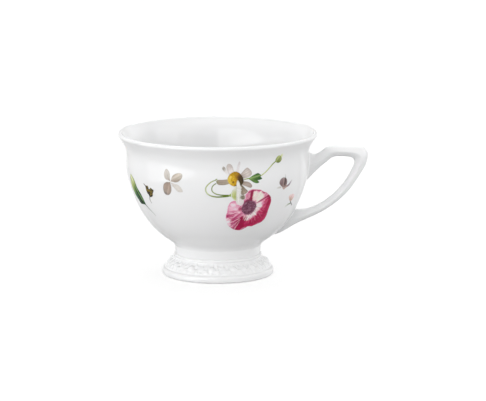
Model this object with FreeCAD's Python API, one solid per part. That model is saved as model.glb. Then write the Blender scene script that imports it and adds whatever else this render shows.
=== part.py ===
import FreeCAD, Part
import os, math
from FreeCAD import Vector as V

# Footed porcelain teacup, millimetres.
# Frame: Z is the axis of the cup and points up, z = 0 is the plane the foot ring stands on,
# +X points to the handle, the main flower spray is on the -Y side.

# ---------------------------------------------------------------- driving dimensions
RIM_R = 47.5            # outermost radius of the flared lip
LIP_R = 1.08            # radius of the rounded lip edge
RIM_Z = 68.3            # height of the lip
SEAM_Z = 14.2           # plane where bowl and foot are luted together
SEAM_R = 20.9           # outer radius at that plane
FLOOR_Z = 16.8          # inside floor of the bowl on the axis
FOOT_R = 26.7           # outer radius of the foot flange
REST_R0 = 23.3          # inner radius of the flat resting ring
REST_R1 = 25.6          # outer radius of the flat resting ring
WELL_R = 17.3           # radius of the hollow in the stem
FRUIT_N = 28            # moulded fruits and blossoms round the foot band
FRUIT_R = 1.35          # radius of one of them
FRUIT_RING = (22.42, 5.08)   # ring they are centred on (radius, height)
HANDLE_HALF_W = 3.7     # half width of the handle at its top bar
DECAL_T = 0.10          # stand-in thickness of a fired transfer (the real film is about 0.02)
DECAL_IN = 0.0          # transfers start on the glaze

# outer profile of the bowl (radius, height), seam to lip
BOWL_OUT = [(SEAM_R, SEAM_Z), (21.337, 14.869), (21.877, 15.458), (22.478, 15.985), (23.112, 16.473), (23.761, 16.942),
            (25.39, 18.101), (26.975, 19.32), (28.493, 20.622), (29.937, 22.006), (31.302, 23.467), (32.59, 24.997),
            (33.802, 26.587), (34.941, 28.231), (36.007, 29.923), (37.002, 31.658), (37.928, 33.431), (38.786, 35.237),
            (39.581, 37.072), (40.314, 38.933), (40.987, 40.816), (41.601, 42.72), (42.152, 44.642), (42.636, 46.583),
            (43.045, 48.54), (43.345, 50.517), (43.467, 51.935), (43.505, 53.357), (43.481, 54.779), (43.43, 56.201),
            (43.42, 57.624), (43.541, 59.041), (43.829, 60.433), (44.287, 61.779), (44.907, 63.059), (45.645, 64.275),
            (46.431, 65.461), (47.216, 66.648)]
# inner profile, lip to floor
BOWL_IN = [(45.36, 67.52), (44.62, 66.4), (43.64, 64.95), (42.70, 63.32), (41.92, 61.48), (41.35, 59.55),
           (40.94, 57.59), (40.61, 55.78), (40.33, 54.14), (40.07, 52.58), (39.72, 50.46), (39.36, 48.3),
           (38.97, 46.11), (38.53, 43.94), (38.02, 41.78), (37.44, 39.65), (36.77, 37.55), (36.0, 35.5),
           (35.1, 33.49), (34.08, 31.54), (32.95, 29.64), (31.71, 27.82), (30.36, 26.08), (28.9, 24.42),
           (27.3, 22.85), (25.5, 21.35), (23.4, 19.95), (20.9, 18.75), (17.8, 17.85), (13.5, 17.2), (7.5, 16.87), (0.0, FLOOR_Z)]

# handle: pairs of outer and inner contour points (x, z), upper root to lower root
HANDLE_O = [(40.9, 60.6), (43.35, 58.45), (44.6, 57.7), (46.0, 57.42), (47.4, 57.8), (48.9, 58.75), (50.5, 59.97),
            (52.3, 61.05), (54.5, 61.58), (57.3, 61.58), (60.3, 61.5), (63.4, 61.4), (66.2, 61.22), (68.6, 60.78),
            (70.4, 59.75), (71.33, 58.1), (71.38, 56.1), (70.93, 53.95), (69.95, 51.5), (68.35, 48.75),
            (66.71, 46.1), (65.1, 43.6), (62.76, 40.35), (59.93, 37.3), (56.77, 34.45), (53.34, 31.94),
            (49.73, 29.65), (45.9, 27.72), (42.06, 25.95), (38.15, 24.15), (34.3, 22.0), (31.4, 20.2), (28.9, 18.95), (26.9, 18.3), (24.2, 17.95)]
HANDLE_I = [(39.6, 41.2), (42.1, 44.3), (44.4, 46.85), (46.9, 49.45), (49.3, 51.65), (51.5, 53.45), (53.35, 55.05),
            (54.95, 55.95), (56.55, 56.25), (58.4, 56.3), (60.5, 56.22), (62.3, 55.97), (63.55, 55.6), (64.3, 55.05),
            (64.6, 54.3), (64.72, 53.5), (64.65, 52.75), (64.4, 52.0), (63.98, 51.2), (63.4, 49.95),
            (62.6, 48.35), (61.45, 46.3), (59.4, 43.3), (56.8, 40.3), (54.0, 37.55), (50.9, 35.15),
            (47.75, 33.2), (44.3, 31.75), (41.0, 30.95), (38.0, 30.85), (35.4, 31.0), (33.0, 31.1), (30.8, 31.0), (28.3, 30.5), (25.4, 29.8)]
# half width across the handle at each pair
HANDLE_W = [6.1, 5.3, 4.75, 4.3, 4.0, 3.8, 3.7, 3.7, HANDLE_HALF_W, 3.7, 3.7, 3.7, 3.7, 3.7, 3.7, 3.7, 3.65, 3.6,
            3.55, 3.5, 3.45, 3.4, 3.35, 3.3, 3.3, 3.3, 3.4, 3.6, 4.0, 4.5, 5.0, 5.1, 4.9, 4.4, 3.8]

# ---------------------------------------------------------------- helpers
def rz(p):
    return V(p[0], 0, p[1])


def spline(pts, t0=None, t1=None):
    c = Part.BSplineCurve()
    if t0 is not None:
        c.interpolate(Points=pts, InitialTangent=t0, FinalTangent=t1)
    else:
        c.interpolate(pts)
    return c


def revolve(edges):
    face = Part.Face(Part.Wire(edges))
    s = face.revolve(V(0, 0, 0), V(0, 0, 1), 360)
    return s if s.ShapeType == "Solid" else Part.Solid(Part.Shell(s.Faces))


def line(a, b):
    return Part.LineSegment(rz(a), rz(b)).toShape()


def arc3(a, b, c):
    return Part.Arc(rz(a), rz(b), rz(c)).toShape()


# ---------------------------------------------------------------- bowl
out_curve = spline([rz(p) for p in BOWL_OUT])
out_edge = out_curve.toShape()
lip_edge = arc3(BOWL_OUT[-1], (46.42, RIM_Z), BOWL_IN[0])
in_edge = spline([rz(p) for p in BOWL_IN], V(-0.5, 0, -0.87), V(-1, 0, 0)).toShape()
bowl = revolve([out_edge, lip_edge, in_edge, line(BOWL_IN[-1], (0, SEAM_Z)), line((0, SEAM_Z), BOWL_OUT[0])])

# the bowl without its hollow, used to trim what is luted or printed on its outside
plug = revolve([spline([rz(p) for p in BOWL_OUT]).toShape(),
                line(BOWL_OUT[-1], (0, BOWL_OUT[-1][1])),
                line((0, BOWL_OUT[-1][1]), (0, SEAM_Z)), line((0, SEAM_Z), BOWL_OUT[0])])

# ---------------------------------------------------------------- foot
FOOT_OUT_STEM = [(SEAM_R, SEAM_Z), (20.75, 13.2), (20.55, 12.0), (20.35, 10.8), (20.3, 9.95)]
FOOT_BAND = [(20.75, 8.55), (21.3, 7.15), (22.55, 6.0), (23.95, 4.95), (24.95, 4.0), (25.7, 3.45)]
foot_edges = [
    spline([rz(p) for p in FOOT_OUT_STEM]).toShape(),
    arc3((20.3, 9.95), (20.95, 9.3), (20.75, 8.55)),            # thin raised bead above the moulded band
    spline([rz(p) for p in FOOT_BAND]).toShape(),               # moulded band
    arc3((25.7, 3.45), (26.35, 3.3), (26.6, 2.75)),             # ridge on top of the flange
    line((26.6, 2.75), (FOOT_R, 1.2)),
    arc3((FOOT_R, 1.2), (26.35, 0.35), (REST_R1, 0.0)),
    line((REST_R1, 0.0), (REST_R0, 0.0)),                       # flat resting ring
    arc3((REST_R0, 0.0), (22.75, 0.25), (22.45, 0.9)),
    spline([rz(p) for p in [(22.45, 0.9), (21.7, 2.6), (20.2, 4.6), (18.6, 6.6), (17.6, 8.8), (WELL_R, 11.2)]]).toShape(),
    line((WELL_R, 11.2), (WELL_R, SEAM_Z)),
    line((WELL_R, SEAM_Z), (SEAM_R, SEAM_Z)),
]
foot = revolve(foot_edges)
beads = []
for i in range(FRUIT_N):
    a = 2 * math.pi * (i + 0.5) / FRUIT_N
    beads.append(Part.makeSphere(FRUIT_R, V(FRUIT_RING[0] * math.cos(a), FRUIT_RING[0] * math.sin(a), FRUIT_RING[1])))
foot = foot.fuse(beads).removeSplitter()
if foot.ShapeType != "Solid":
    foot = foot.Solids[0]

# ---------------------------------------------------------------- handle
def handle_section(o, i, w, n=24):
    """closed soft-ridged ring of points between an outer and an inner contour point"""
    O, I = V(o[0], 0, o[1]), V(i[0], 0, i[1])
    c = (O + I) * 0.5
    b = (O - I) * 0.5
    e = 2.0 / 1.8
    ring = []
    for k in range(n + 1):
        t = 2 * math.pi * (k % n) / n
        ct, st = math.cos(t), math.sin(t)
        ring.append(c + b * math.copysign(abs(ct) ** e, ct) + V(0, w * math.copysign(abs(st) ** e, st), 0))
    return ring


wall = Part.BSplineSurface()
wall.interpolate([handle_section(o, i, w) for o, i, w in zip(HANDLE_O, HANDLE_I, HANDLE_W)])
wall = wall.toShape()
ends = [Part.Face(Part.Wire(ed)) for ed in wall.Edges if ed.isClosed()]
handle_shell = Part.makeShell([wall] + ends)
handle_shell.sewShape()
handle = Part.Solid(handle_shell)
if handle.Volume < 0:
    handle.reverse()
handle = handle.cut(plug)
sol = sorted(handle.Solids, key=lambda s: -s.Volume)
handle = sol[0]

# ---------------------------------------------------------------- transfers
# every motif is drawn flat in millimetres, (along the wall to the right, up the wall), about its own centre,
# and laid on the outside of the bowl at an angle from the -Y direction and a distance up the wall
prof = []
for k in range(1201):
    u = out_curve.FirstParameter + (out_curve.LastParameter - out_curve.FirstParameter) * k / 1200.0
    p = out_curve.value(u)
    prof.append((p.x, p.z))
arc = [0.0]
for k in range(1, len(prof)):
    arc.append(arc[-1] + math.hypot(prof[k][0] - prof[k - 1][0], prof[k][1] - prof[k - 1][1]))


def at_s(s):
    lo, hi = 0, len(arc) - 1
    s = min(max(s, 0.0), arc[-1])
    while hi - lo > 1:
        m = (lo + hi) // 2
        if arc[m] <= s:
            lo = m
        else:
            hi = m
    f = (s - arc[lo]) / (arc[hi] - arc[lo])
    return prof[lo][0] + f * (prof[hi][0] - prof[lo][0]), prof[lo][1] + f * (prof[hi][1] - prof[lo][1])


def s_of_z(z):
    for k in range(1, len(prof)):
        if prof[k][1] >= z:
            f = (z - prof[k - 1][1]) / (prof[k][1] - prof[k - 1][1])
            return arc[k - 1] + f * (arc[k] - arc[k - 1])
    return arc[-1]


def shell_profile(t):
    pts = []
    n = 60
    for k in range(n + 1):
        j = int(30 + (1150 - 30) * k / float(n))
        r, z = prof[j]
        dr = prof[j + 1][0] - prof[j - 1][0]
        dz = prof[j + 1][1] - prof[j - 1][1]
        L = math.hypot(dr, dz)
        pts.append((r + dz / L * t, z - dr / L * t))
    return pts


skin_out = shell_profile(DECAL_T)
skin_solid = revolve([spline([rz(p) for p in skin_out]).toShape(),
                      line(skin_out[-1], (0, skin_out[-1][1])), line((0, skin_out[-1][1]), (0, skin_out[0][1])),
                      line((0, skin_out[0][1]), skin_out[0])])
skin = skin_solid.cut(plug)


def prism(theta, z, outline, inset=0.0):
    """column through an outline on the wall, along the horizontal direction of the motif's centre"""
    th = math.radians(theta)
    N = V(math.sin(th), -math.cos(th), 0)
    T = V(math.cos(th), math.sin(th), 0)
    s0 = s_of_z(z)
    rc = at_s(s0)[0]
    pts = []
    for a, b in outline:
        r, zz = at_s(s0 + b)
        ang = a / rc
        pts.append(T * (r * math.sin(ang)) + V(0, 0, zz) + N * 12.0)
    w = Part.makePolygon(pts + [pts[0]])
    return Part.Face(w).extrude(N * 45.0)


def stroke(path, w0, w1):
    """outline of a tapering stroke along a path"""
    n = len(path)
    L, R = [], []
    for k, p in enumerate(path):
        q0 = path[max(k - 1, 0)]
        q1 = path[min(k + 1, n - 1)]
        dx, dy = q1[0] - q0[0], q1[1] - q0[1]
        d = math.hypot(dx, dy)
        w = 0.5 * (w0 + (w1 - w0) * k / (n - 1.0))
        L.append((p[0] - dy / d * w, p[1] + dx / d * w))
        R.append((p[0] + dy / d * w, p[1] - dx / d * w))
    return L + R[::-1]


def transfer(theta, z, outlines, minus=()):
    cols = [prism(theta, z, o) for o in outlines]
    col = cols[0]
    if len(cols) > 1:
        col = col.fuse(cols[1:])
    s = skin.common(col)
    for m in minus:
        s = s.cut(m)
    sol = [q for q in s.Solids if q.Volume > 0.05]
    sol.sort(key=lambda q: -q.Volume)
    return sol


ANEMONE = [(-7.6, 4.0), (-9.0, 3.3), (-9.9, 1.4), (-10.2, -0.8), (-10.4, -2.5), (-10.8, -3.9), (-10.7, -6.3), (-9.7, -9.1),
           (-8.0, -11.1), (-6.1, -12.5), (-4.1, -13.1), (-1.8, -13.1), (0.2, -12.0), (1.9, -11.0), (3.8, -11.2), (5.8, -10.5),
           (8.2, -9.6), (10.1, -8.1), (10.9, -6.1), (11.0, -3.6), (11.0, -1.5), (11.3, 0.5), (11.3, 2.4), (10.6, 4.4),
           (9.3, 6.0), (7.8, 7.1), (6.2, 7.8), (5.0, 8.5), (3.6, 9.0), (1.9, 9.3), (0.5, 9.3), (-0.7, 8.9),
           (-1.6, 8.2), (-2.2, 6.9), (-3.0, 5.7), (-3.8, 4.5), (-5.2, 4.1), (-6.5, 4.4)]
DAISY_DOME = [(3.7, -0.3), (3.2, -2.3), (1.9, -3.2), (0.4, -3.4), (-1.1, -3.2), (-2.5, -2.2), (-3.2, -0.7), (-3.1, 0.8),
              (-2.4, 2.2), (-1.1, 3.0), (0.4, 3.3), (1.9, 2.9), (3.1, 1.5)]
DAISY = [DAISY_DOME,
         [(-2.2, 0.9), (-3.7, 1.9), (-5.1, 3.5), (-5.8, 4.9), (-5.4, 5.8), (-4.5, 5.3), (-3.7, 4.0), (-1.6, 1.9)],
         [(-2.2, 1.4), (-3.7, 4.0), (-3.8, 5.7), (-3.3, 6.8), (-2.3, 6.8), (-1.4, 6.0), (-0.6, 3.9), (-0.4, 2.0)],
         [(0.3, 2.4), (0.8, 5.0), (1.5, 7.4), (2.0, 8.1), (2.4, 7.2), (2.0, 5.0), (1.5, 2.2)],
         [(2.2, 1.4), (4.1, 3.4), (5.3, 4.4), (6.4, 4.4), (7.4, 3.2), (8.1, 2.2), (7.7, 1.3), (6.1, 0.3), (4.8, 0.1), (2.6, 0.2)],
         [(2.4, -1.4), (4.8, -1.5), (6.5, -2.0), (7.9, -3.1), (8.3, -4.2), (7.6, -4.7), (5.7, -4.1), (2.4, -2.7)],
         [(2.0, -2.5), (3.8, -3.5), (5.3, -4.8), (6.5, -6.4), (5.5, -7.5), (4.1, -8.0), (2.6, -7.8), (2.2, -5.8)],
         [(1.6, -0.7), (2.5, -2.5), (3.0, -4.2), (3.2, -6.7), (4.2, -8.7), (5.3, -9.3), (5.2, -10.6), (5.1, -12.9), (3.1, -12.9),
          (1.4, -11.4), (0.5, -9.9), (-0.3, -8.4), (-0.6, -6.6), (-0.3, -4.6), (0.6, -2.4)],
         [(-2.6, -0.4), (-5.7, -0.4), (-7.6, -0.3), (-8.0, -0.9), (-7.8, -2.1), (-6.6, -2.5), (-4.6, -2.7), (-2.2, -1.9)]]
TENDRIL_OUT = [(-2.4, 3.9), (-4.6, 3.0), (-6.5, 1.4), (-7.5, -0.4), (-7.1, -2.4), (-5.5, -3.8), (-2.6, -4.5), (0.3, -4.4), (2.4, -4.2), (3.8, -3.9)]
TENDRIL_IN = [(-2.3, 2.3), (-3.7, 1.5), (-4.6, 0.1), (-4.5, -1.6), (-3.0, -2.9), (-0.8, -3.5), (1.5, -3.7), (3.8, -3.8)]
CALYX = [(3.2, -3.5), (4.4, -2.7), (5.1, -0.9), (5.8, -0.2), (6.7, -1.2), (6.9, -3.1), (6.8, -5.6), (6.0, -5.9), (5.1, -5.0), (3.8, -4.4)]
LEAF = [(-3.4, -0.2), (-2.3, 0.8), (-0.4, 1.7), (1.0, 2.2), (1.9, 1.8), (2.6, 1.1), (2.4, 0.4), (3.2, -0.5), (2.1, -1.0),
        (0.9, -1.2), (1.8, -2.1), (0.6, -2.5), (-1.1, -2.0), (-2.3, -1.1)]
LEAF_STEM = [(2.0, 0.4), (4.8, 2.2), (7.3, 4.2), (9.3, 6.0), (10.9, 7.1)]
BUD = [(10.3, 7.3), (10.7, 9.1), (11.5, 9.8), (12.6, 9.5), (13.5, 9.8), (13.6, 8.6), (14.1, 7.4), (13.5, 6.2), (12.2, 5.9), (10.9, 6.4)]
VIOLET = [[(-0.6, 2.4), (-1.8, 1.9), (-2.5, 0.7), (-2.2, -0.4), (-1.6, -1.6), (-2.5, -1.7), (-3.7, -2.1), (-3.4, -2.6), (-2.1, -2.6),
           (-0.6, -2.6), (0.4, -3.1), (1.1, -3.7), (1.9, -3.2), (3.0, -2.8), (4.5, -2.1), (5.6, -1.0), (6.4, 0.3), (6.0, 0.5),
           (5.0, -0.2), (3.9, -1.2), (2.6, -1.5), (2.6, 0.4), (1.9, 1.7), (1.45, 2.1), (1.2, 3.9), (0.9, 2.2)]]
ROSEBUD = [[(-2.2, 0.0), (-2.9, 1.0), (-2.3, 2.0), (-0.7, 2.3), (1.3, 1.8), (2.1, 0.8), (1.6, -0.5), (1.0, -1.4), (0.9, -2.4), (3.4, -4.2),
            (2.9, -4.6), (0.7, -3.1), (-0.3, -3.3), (-2.0, -3.9), (-4.0, -4.4), (-4.4, -4.1), (-3.4, -3.3), (-1.7, -2.7), (-0.1, -2.4), (-0.9, -1.1)]]
FLORET = [[(0.25, 0.3), (-0.5, 0.4), (-2.2, 0.9), (-3.0, 2.5), (-2.7, 4.4), (-1.8, 5.7), (-0.7, 5.2), (0.1, 3.8), (0.3, 1.9), (0.5, 0.5),
           (0.9, 0.4), (1.0, 1.3), (1.7, 2.8), (3.2, 3.8), (5.2, 4.3), (6.5, 3.8), (6.4, 2.2), (5.2, 0.7), (3.4, -0.1), (1.6, 0.0),
           (0.8, -0.1), (0.9, -0.5), (2.4, -0.9), (4.4, -1.3), (5.6, -2.4), (6.5, -4.2), (5.8, -4.7), (4.0, -4.7), (2.6, -3.4), (1.4, -2.0),
           (0.7, -0.9), (0.4, -1.1), (0.6, -3.1), (0.2, -5.2), (-1.2, -6.6), (-3.0, -6.7), (-3.9, -5.6), (-4.0, -3.6), (-3.3, -1.5), (-1.7, -0.4), (-0.2, -0.25)]]
SPRIG = [[(-3.0, 3.2), (-1.9, 2.7), (-0.8, 2.4), (-0.1, 2.5), (0.1, 1.3), (0.4, 0.7), (1.6, 1.8), (2.5, 1.4), (3.4, 0.8), (2.5, -0.7),
          (1.8, -2.3), (0.8, -2.9), (-0.2, -2.9), (-0.9, -4.4), (-0.2, -6.1), (-0.6, -6.3), (-1.3, -4.6), (-0.8, -2.7), (-1.0, -1.9), (-1.5, -1.5), (-2.0, -0.3), (-1.8, 1.9)]]
BLADE = [[(-5.1, 7.1), (-3.3, 6.4), (-1.8, 5.2), (-0.8, 3.4), (-0.2, 1.5), (1.0, -0.1), (2.3, -1.9), (3.1, -3.8), (3.5, -5.6), (3.7, -6.9),
          (1.5, -7.1), (-1.9, -7.3), (-3.2, -5.7), (-5.3, -3.8), (-6.5, -1.9), (-7.4, 0.2), (-7.6, 2.6), (-6.5, 5.3)]]
BLADE_STEM = [(3.0, -6.6), (4.7, -8.2), (6.4, -9.7), (8.1, -11.2), (8.8, -12.3)]

parts = {"bowl": [bowl], "foot": [foot], "handle": [handle]}
daisy = transfer(11.05, 53.01, DAISY)[:1]
anemone = transfer(21.49, 38.68, [ANEMONE], minus=daisy)[:1]
tendril = transfer(3.18, 48.89, [stroke(TENDRIL_OUT, 0.5, 0.8), stroke(TENDRIL_IN, 0.45, 0.7), CALYX], minus=daisy + anemone)[:1]
leafstem = transfer(24.38, 52.91, [LEAF, stroke(LEAF_STEM, 0.45, 0.6), BUD], minus=daisy)[:1]
parts["anemone_decal"] = anemone
parts["daisy_decal"] = daisy
parts["tendril_decal"] = tendril
parts["bud_stem_decal"] = leafstem
parts["violet_bud_decal"] = transfer(45.33, 49.12, VIOLET)[:1]
parts["rosebud_decal"] = transfer(58.37, 40.09, ROSEBUD)[:1]
parts["floret_decal"] = transfer(-30.11, 50.9, FLORET)[:1]
parts["sprig_decal"] = transfer(-48.67, 44.63, SPRIG)[:1]
parts["grass_leaf_decal"] = transfer(-62.56, 43.51, BLADE + [stroke(BLADE_STEM, 0.7, 0.35)])[:1]
# strewn motifs on the far side, smaller repeats of the ones in front
parts["back_floret_decal"] = transfer(158.0, 47.5, FLORET)[:1]
parts["back_rosebud_decal"] = transfer(-163.0, 39.0, ROSEBUD)[:1]
parts["back_violet_bud_decal"] = transfer(-128.0, 50.0, VIOLET)[:1]
parts["back_grass_leaf_decal"] = transfer(-100.0, 40.5, BLADE + [stroke(BLADE_STEM, 0.7, 0.35)])[:1]

os.makedirs("parts", exist_ok=True)
for name, solids in parts.items():
    shape = solids[0] if len(solids) == 1 else Part.makeCompound(solids)
    shape.exportStep("parts/%s.step" % name)
    b = shape.BoundBox
    print("%-24s solids %d valid %s vol %.2f mm3  x %.2f..%.2f y %.2f..%.2f z %.2f..%.2f" % (
        name, len(shape.Solids), shape.isValid(), shape.Volume, b.XMin, b.XMax, b.YMin, b.YMax, b.ZMin, b.ZMax))
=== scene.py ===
import bpy
import math
import numpy as np
from mathutils import Vector, Matrix


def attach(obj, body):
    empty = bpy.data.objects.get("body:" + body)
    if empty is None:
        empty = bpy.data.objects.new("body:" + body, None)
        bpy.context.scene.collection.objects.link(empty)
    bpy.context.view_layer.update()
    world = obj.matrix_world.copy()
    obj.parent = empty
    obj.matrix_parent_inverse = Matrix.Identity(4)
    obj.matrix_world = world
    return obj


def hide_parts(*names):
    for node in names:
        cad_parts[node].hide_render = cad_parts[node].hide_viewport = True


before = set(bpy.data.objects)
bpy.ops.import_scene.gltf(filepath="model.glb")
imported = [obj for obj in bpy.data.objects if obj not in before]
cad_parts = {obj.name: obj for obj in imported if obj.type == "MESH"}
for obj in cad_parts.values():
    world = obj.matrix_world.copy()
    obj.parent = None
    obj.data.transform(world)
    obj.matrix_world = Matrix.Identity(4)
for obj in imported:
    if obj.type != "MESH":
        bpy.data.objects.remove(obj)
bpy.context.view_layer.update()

MM = 0.001
GLAZE = 0.76           # diffuse level of the glazed white body

# ------------------------------------------------------------------ small maths kit


def lerp(a, b, t):
    return a + (b - a) * t


def sstep(e0, e1, x):
    t = np.clip((x - e0) / (e1 - e0), 0.0, 1.0)
    return t * t * (3 - 2 * t)


def fair(points, n):
    """n points on a natural cubic spline through points, even in chord length"""
    P = np.array(points, float)
    d = np.r_[0, np.cumsum(np.linalg.norm(np.diff(P, axis=0), axis=1))]
    return spline_at(d, P, np.linspace(0, d[-1], n))


def spline_at(x, y, q):
    x = np.asarray(x, float)
    y = np.asarray(y, float)
    flat = y.ndim == 1
    if flat:
        y = y[:, None]
    n = len(x)
    h = np.diff(x)
    A = np.zeros((n, n))
    R = np.zeros((n, y.shape[1]))
    A[0, 0] = A[-1, -1] = 1.0
    for i in range(1, n - 1):
        A[i, i - 1], A[i, i], A[i, i + 1] = h[i - 1], 2 * (h[i - 1] + h[i]), h[i]
        R[i] = 6 * ((y[i + 1] - y[i]) / h[i] - (y[i] - y[i - 1]) / h[i - 1])
    M = np.linalg.solve(A, R)
    q = np.asarray(q, float)
    i = np.clip(np.searchsorted(x, q) - 1, 0, n - 2)
    t = (q - x[i])[:, None]
    hi = h[i][:, None]
    s = y[i] + t * ((y[i + 1] - y[i]) / hi - hi * (2 * M[i] + M[i + 1]) / 6) + t * t * M[i] / 2 + t ** 3 * (M[i + 1] - M[i]) / (6 * hi)
    return s[:, 0] if flat else s


def arc3(a, b, c, n):
    """n points on the circle arc from a through b to c"""
    ax, ay = a
    bx, by = b
    cx, cy = c
    d = 2 * (ax * (by - cy) + bx * (cy - ay) + cx * (ay - by))
    ux = ((ax * ax + ay * ay) * (by - cy) + (bx * bx + by * by) * (cy - ay) + (cx * cx + cy * cy) * (ay - by)) / d
    uy = ((ax * ax + ay * ay) * (cx - bx) + (bx * bx + by * by) * (ax - cx) + (cx * cx + cy * cy) * (bx - ax)) / d
    r = math.hypot(ax - ux, ay - uy)
    t0, t1, t2 = (math.atan2(p[1] - uy, p[0] - ux) for p in (a, b, c))
    while t1 < t0:
        t1 += 2 * math.pi
    while t2 < t0:
        t2 += 2 * math.pi
    if t1 > t2:
        t2 -= 2 * math.pi
    t = np.linspace(t0, t2, n)
    return np.c_[ux + r * np.cos(t), uy + r * np.sin(t)]


def hash2(ix, iy, seed):
    v = np.sin(ix * 127.1 + iy * 311.7 + seed * 74.7) * 43758.5453
    return v - np.floor(v)


def vnoise(x, y, seed=0):
    ix, iy = np.floor(x), np.floor(y)
    fx, fy = x - ix, y - iy
    fx = fx * fx * (3 - 2 * fx)
    fy = fy * fy * (3 - 2 * fy)
    a = hash2(ix, iy, seed)
    b = hash2(ix + 1, iy, seed)
    c = hash2(ix, iy + 1, seed)
    d = hash2(ix + 1, iy + 1, seed)
    return (a * (1 - fx) + b * fx) * (1 - fy) + (c * (1 - fx) + d * fx) * fy


def fbm(x, y, seed=0, octaves=3):
    t = 0.0
    w = 0.5
    s = 0.0
    for k in range(octaves):
        t = t + w * vnoise(x * 2 ** k, y * 2 ** k, seed + 11 * k)
        s += w
        w *= 0.5
    return t / s


def lin(c):
    c = np.asarray(c, float) / 255.0
    return np.where(c <= 0.04045, c / 12.92, ((c + 0.055) / 1.055) ** 2.4)


# ------------------------------------------------------------------ profile of the bowl (radius, height), mm
SEAM_Z, SEAM_R, FLOOR_Z = 14.2, 20.9, 16.8
BOWL_OUT = [(20.9, 14.2), (21.337, 14.869), (21.877, 15.458), (22.478, 15.985), (23.112, 16.473), (23.761, 16.942),
            (25.39, 18.101), (26.975, 19.32), (28.493, 20.622), (29.937, 22.006), (31.302, 23.467), (32.59, 24.997),
            (33.802, 26.587), (34.941, 28.231), (36.007, 29.923), (37.002, 31.658), (37.928, 33.431), (38.786, 35.237),
            (39.581, 37.072), (40.314, 38.933), (40.987, 40.816), (41.601, 42.72), (42.152, 44.642), (42.636, 46.583),
            (43.045, 48.54), (43.345, 50.517), (43.467, 51.935), (43.505, 53.357), (43.481, 54.779), (43.43, 56.201),
            (43.42, 57.624), (43.541, 59.041), (43.829, 60.433), (44.287, 61.779), (44.907, 63.059), (45.645, 64.275),
            (46.431, 65.461), (47.216, 66.648)]
BOWL_IN = [(45.36, 67.52), (44.62, 66.4), (43.64, 64.95), (42.70, 63.32), (41.92, 61.48), (41.35, 59.55),
           (40.94, 57.59), (40.61, 55.78), (40.33, 54.14), (40.07, 52.58), (39.72, 50.46), (39.36, 48.3),
           (38.97, 46.11), (38.53, 43.94), (38.02, 41.78), (37.44, 39.65), (36.77, 37.55), (36.0, 35.5),
           (35.1, 33.49), (34.08, 31.54), (32.95, 29.64), (31.71, 27.82), (30.36, 26.08), (28.9, 24.42),
           (27.3, 22.85), (25.5, 21.35), (23.4, 19.95), (20.9, 18.75), (17.8, 17.85), (13.5, 17.2), (7.5, 16.87), (0.0, FLOOR_Z)]
LIP_TOP = (46.42, 68.3)

OUT = fair(BOWL_OUT, 2401)
OUT_S = np.r_[0, np.cumsum(np.linalg.norm(np.diff(OUT, axis=0), axis=1))]
_t = np.gradient(OUT, axis=0)
_t /= np.linalg.norm(_t, axis=1)[:, None]
OUT_N = np.c_[_t[:, 1], -_t[:, 0]]


def wall_r(z):
    return np.interp(z, OUT[:, 1], OUT[:, 0])


def wall_at(s):
    return np.c_[np.interp(s, OUT_S, OUT[:, 0]), np.interp(s, OUT_S, OUT[:, 1])], np.c_[np.interp(s, OUT_S, OUT_N[:, 0]), np.interp(s, OUT_S, OUT_N[:, 1])]


def s_of_z(z):
    return np.interp(z, OUT[:, 1], OUT_S)


# ------------------------------------------------------------------ mesh helpers


def build(name, verts, faces, smooth=True):
    me = bpy.data.meshes.new(name)
    me.from_pydata((np.asarray(verts) * MM).tolist(), [], [tuple(int(i) for i in f) for f in faces])
    me.validate()
    me.update()
    if smooth:
        me.polygons.foreach_set("use_smooth", np.ones(len(me.polygons), bool))
    ob = bpy.data.objects.new(name, me)
    bpy.context.scene.collection.objects.link(ob)
    return ob


def sharpen(ob, angle_deg):
    """mark edges sharper than an angle"""
    me = ob.data
    import bmesh
    bm = bmesh.new()
    bm.from_mesh(me)
    lim = math.radians(angle_deg)
    for e in bm.edges:
        if len(e.link_faces) == 2 and e.calc_face_angle(0.0) > lim:
            e.smooth = False
    bm.to_mesh(me)
    bm.free()


def lathe(rows, seg):
    """closed ring-by-ring surface; a row is (r, z); r == 0 makes a pole"""
    V, F = [], []
    ring = []
    th = np.linspace(0, 2 * np.pi, seg, endpoint=False)
    for r, z in rows:
        if r < 1e-9:
            ring.append((len(V), 1))
            V.append((0.0, 0.0, z))
        else:
            ring.append((len(V), seg))
            V.extend(np.c_[r * np.cos(th), r * np.sin(th), np.full(seg, z)].tolist())
    for k in range(len(rows) - 1):
        (a, na), (b, nb) = ring[k], ring[k + 1]
        for i in range(seg):
            j = (i + 1) % seg
            if na == 1 and nb == 1:
                continue
            if na == 1:
                F.append((a, b + j, b + i))
            elif nb == 1:
                F.append((a + i, a + j, b))
            else:
                F.append((a + i, a + j, b + j, b + i))
    return V, F


# ------------------------------------------------------------------ materials


def node(nt, kind, **kw):
    n = nt.nodes.new(kind)
    for k, v in kw.items():
        setattr(n, k, v)
    return n


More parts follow.
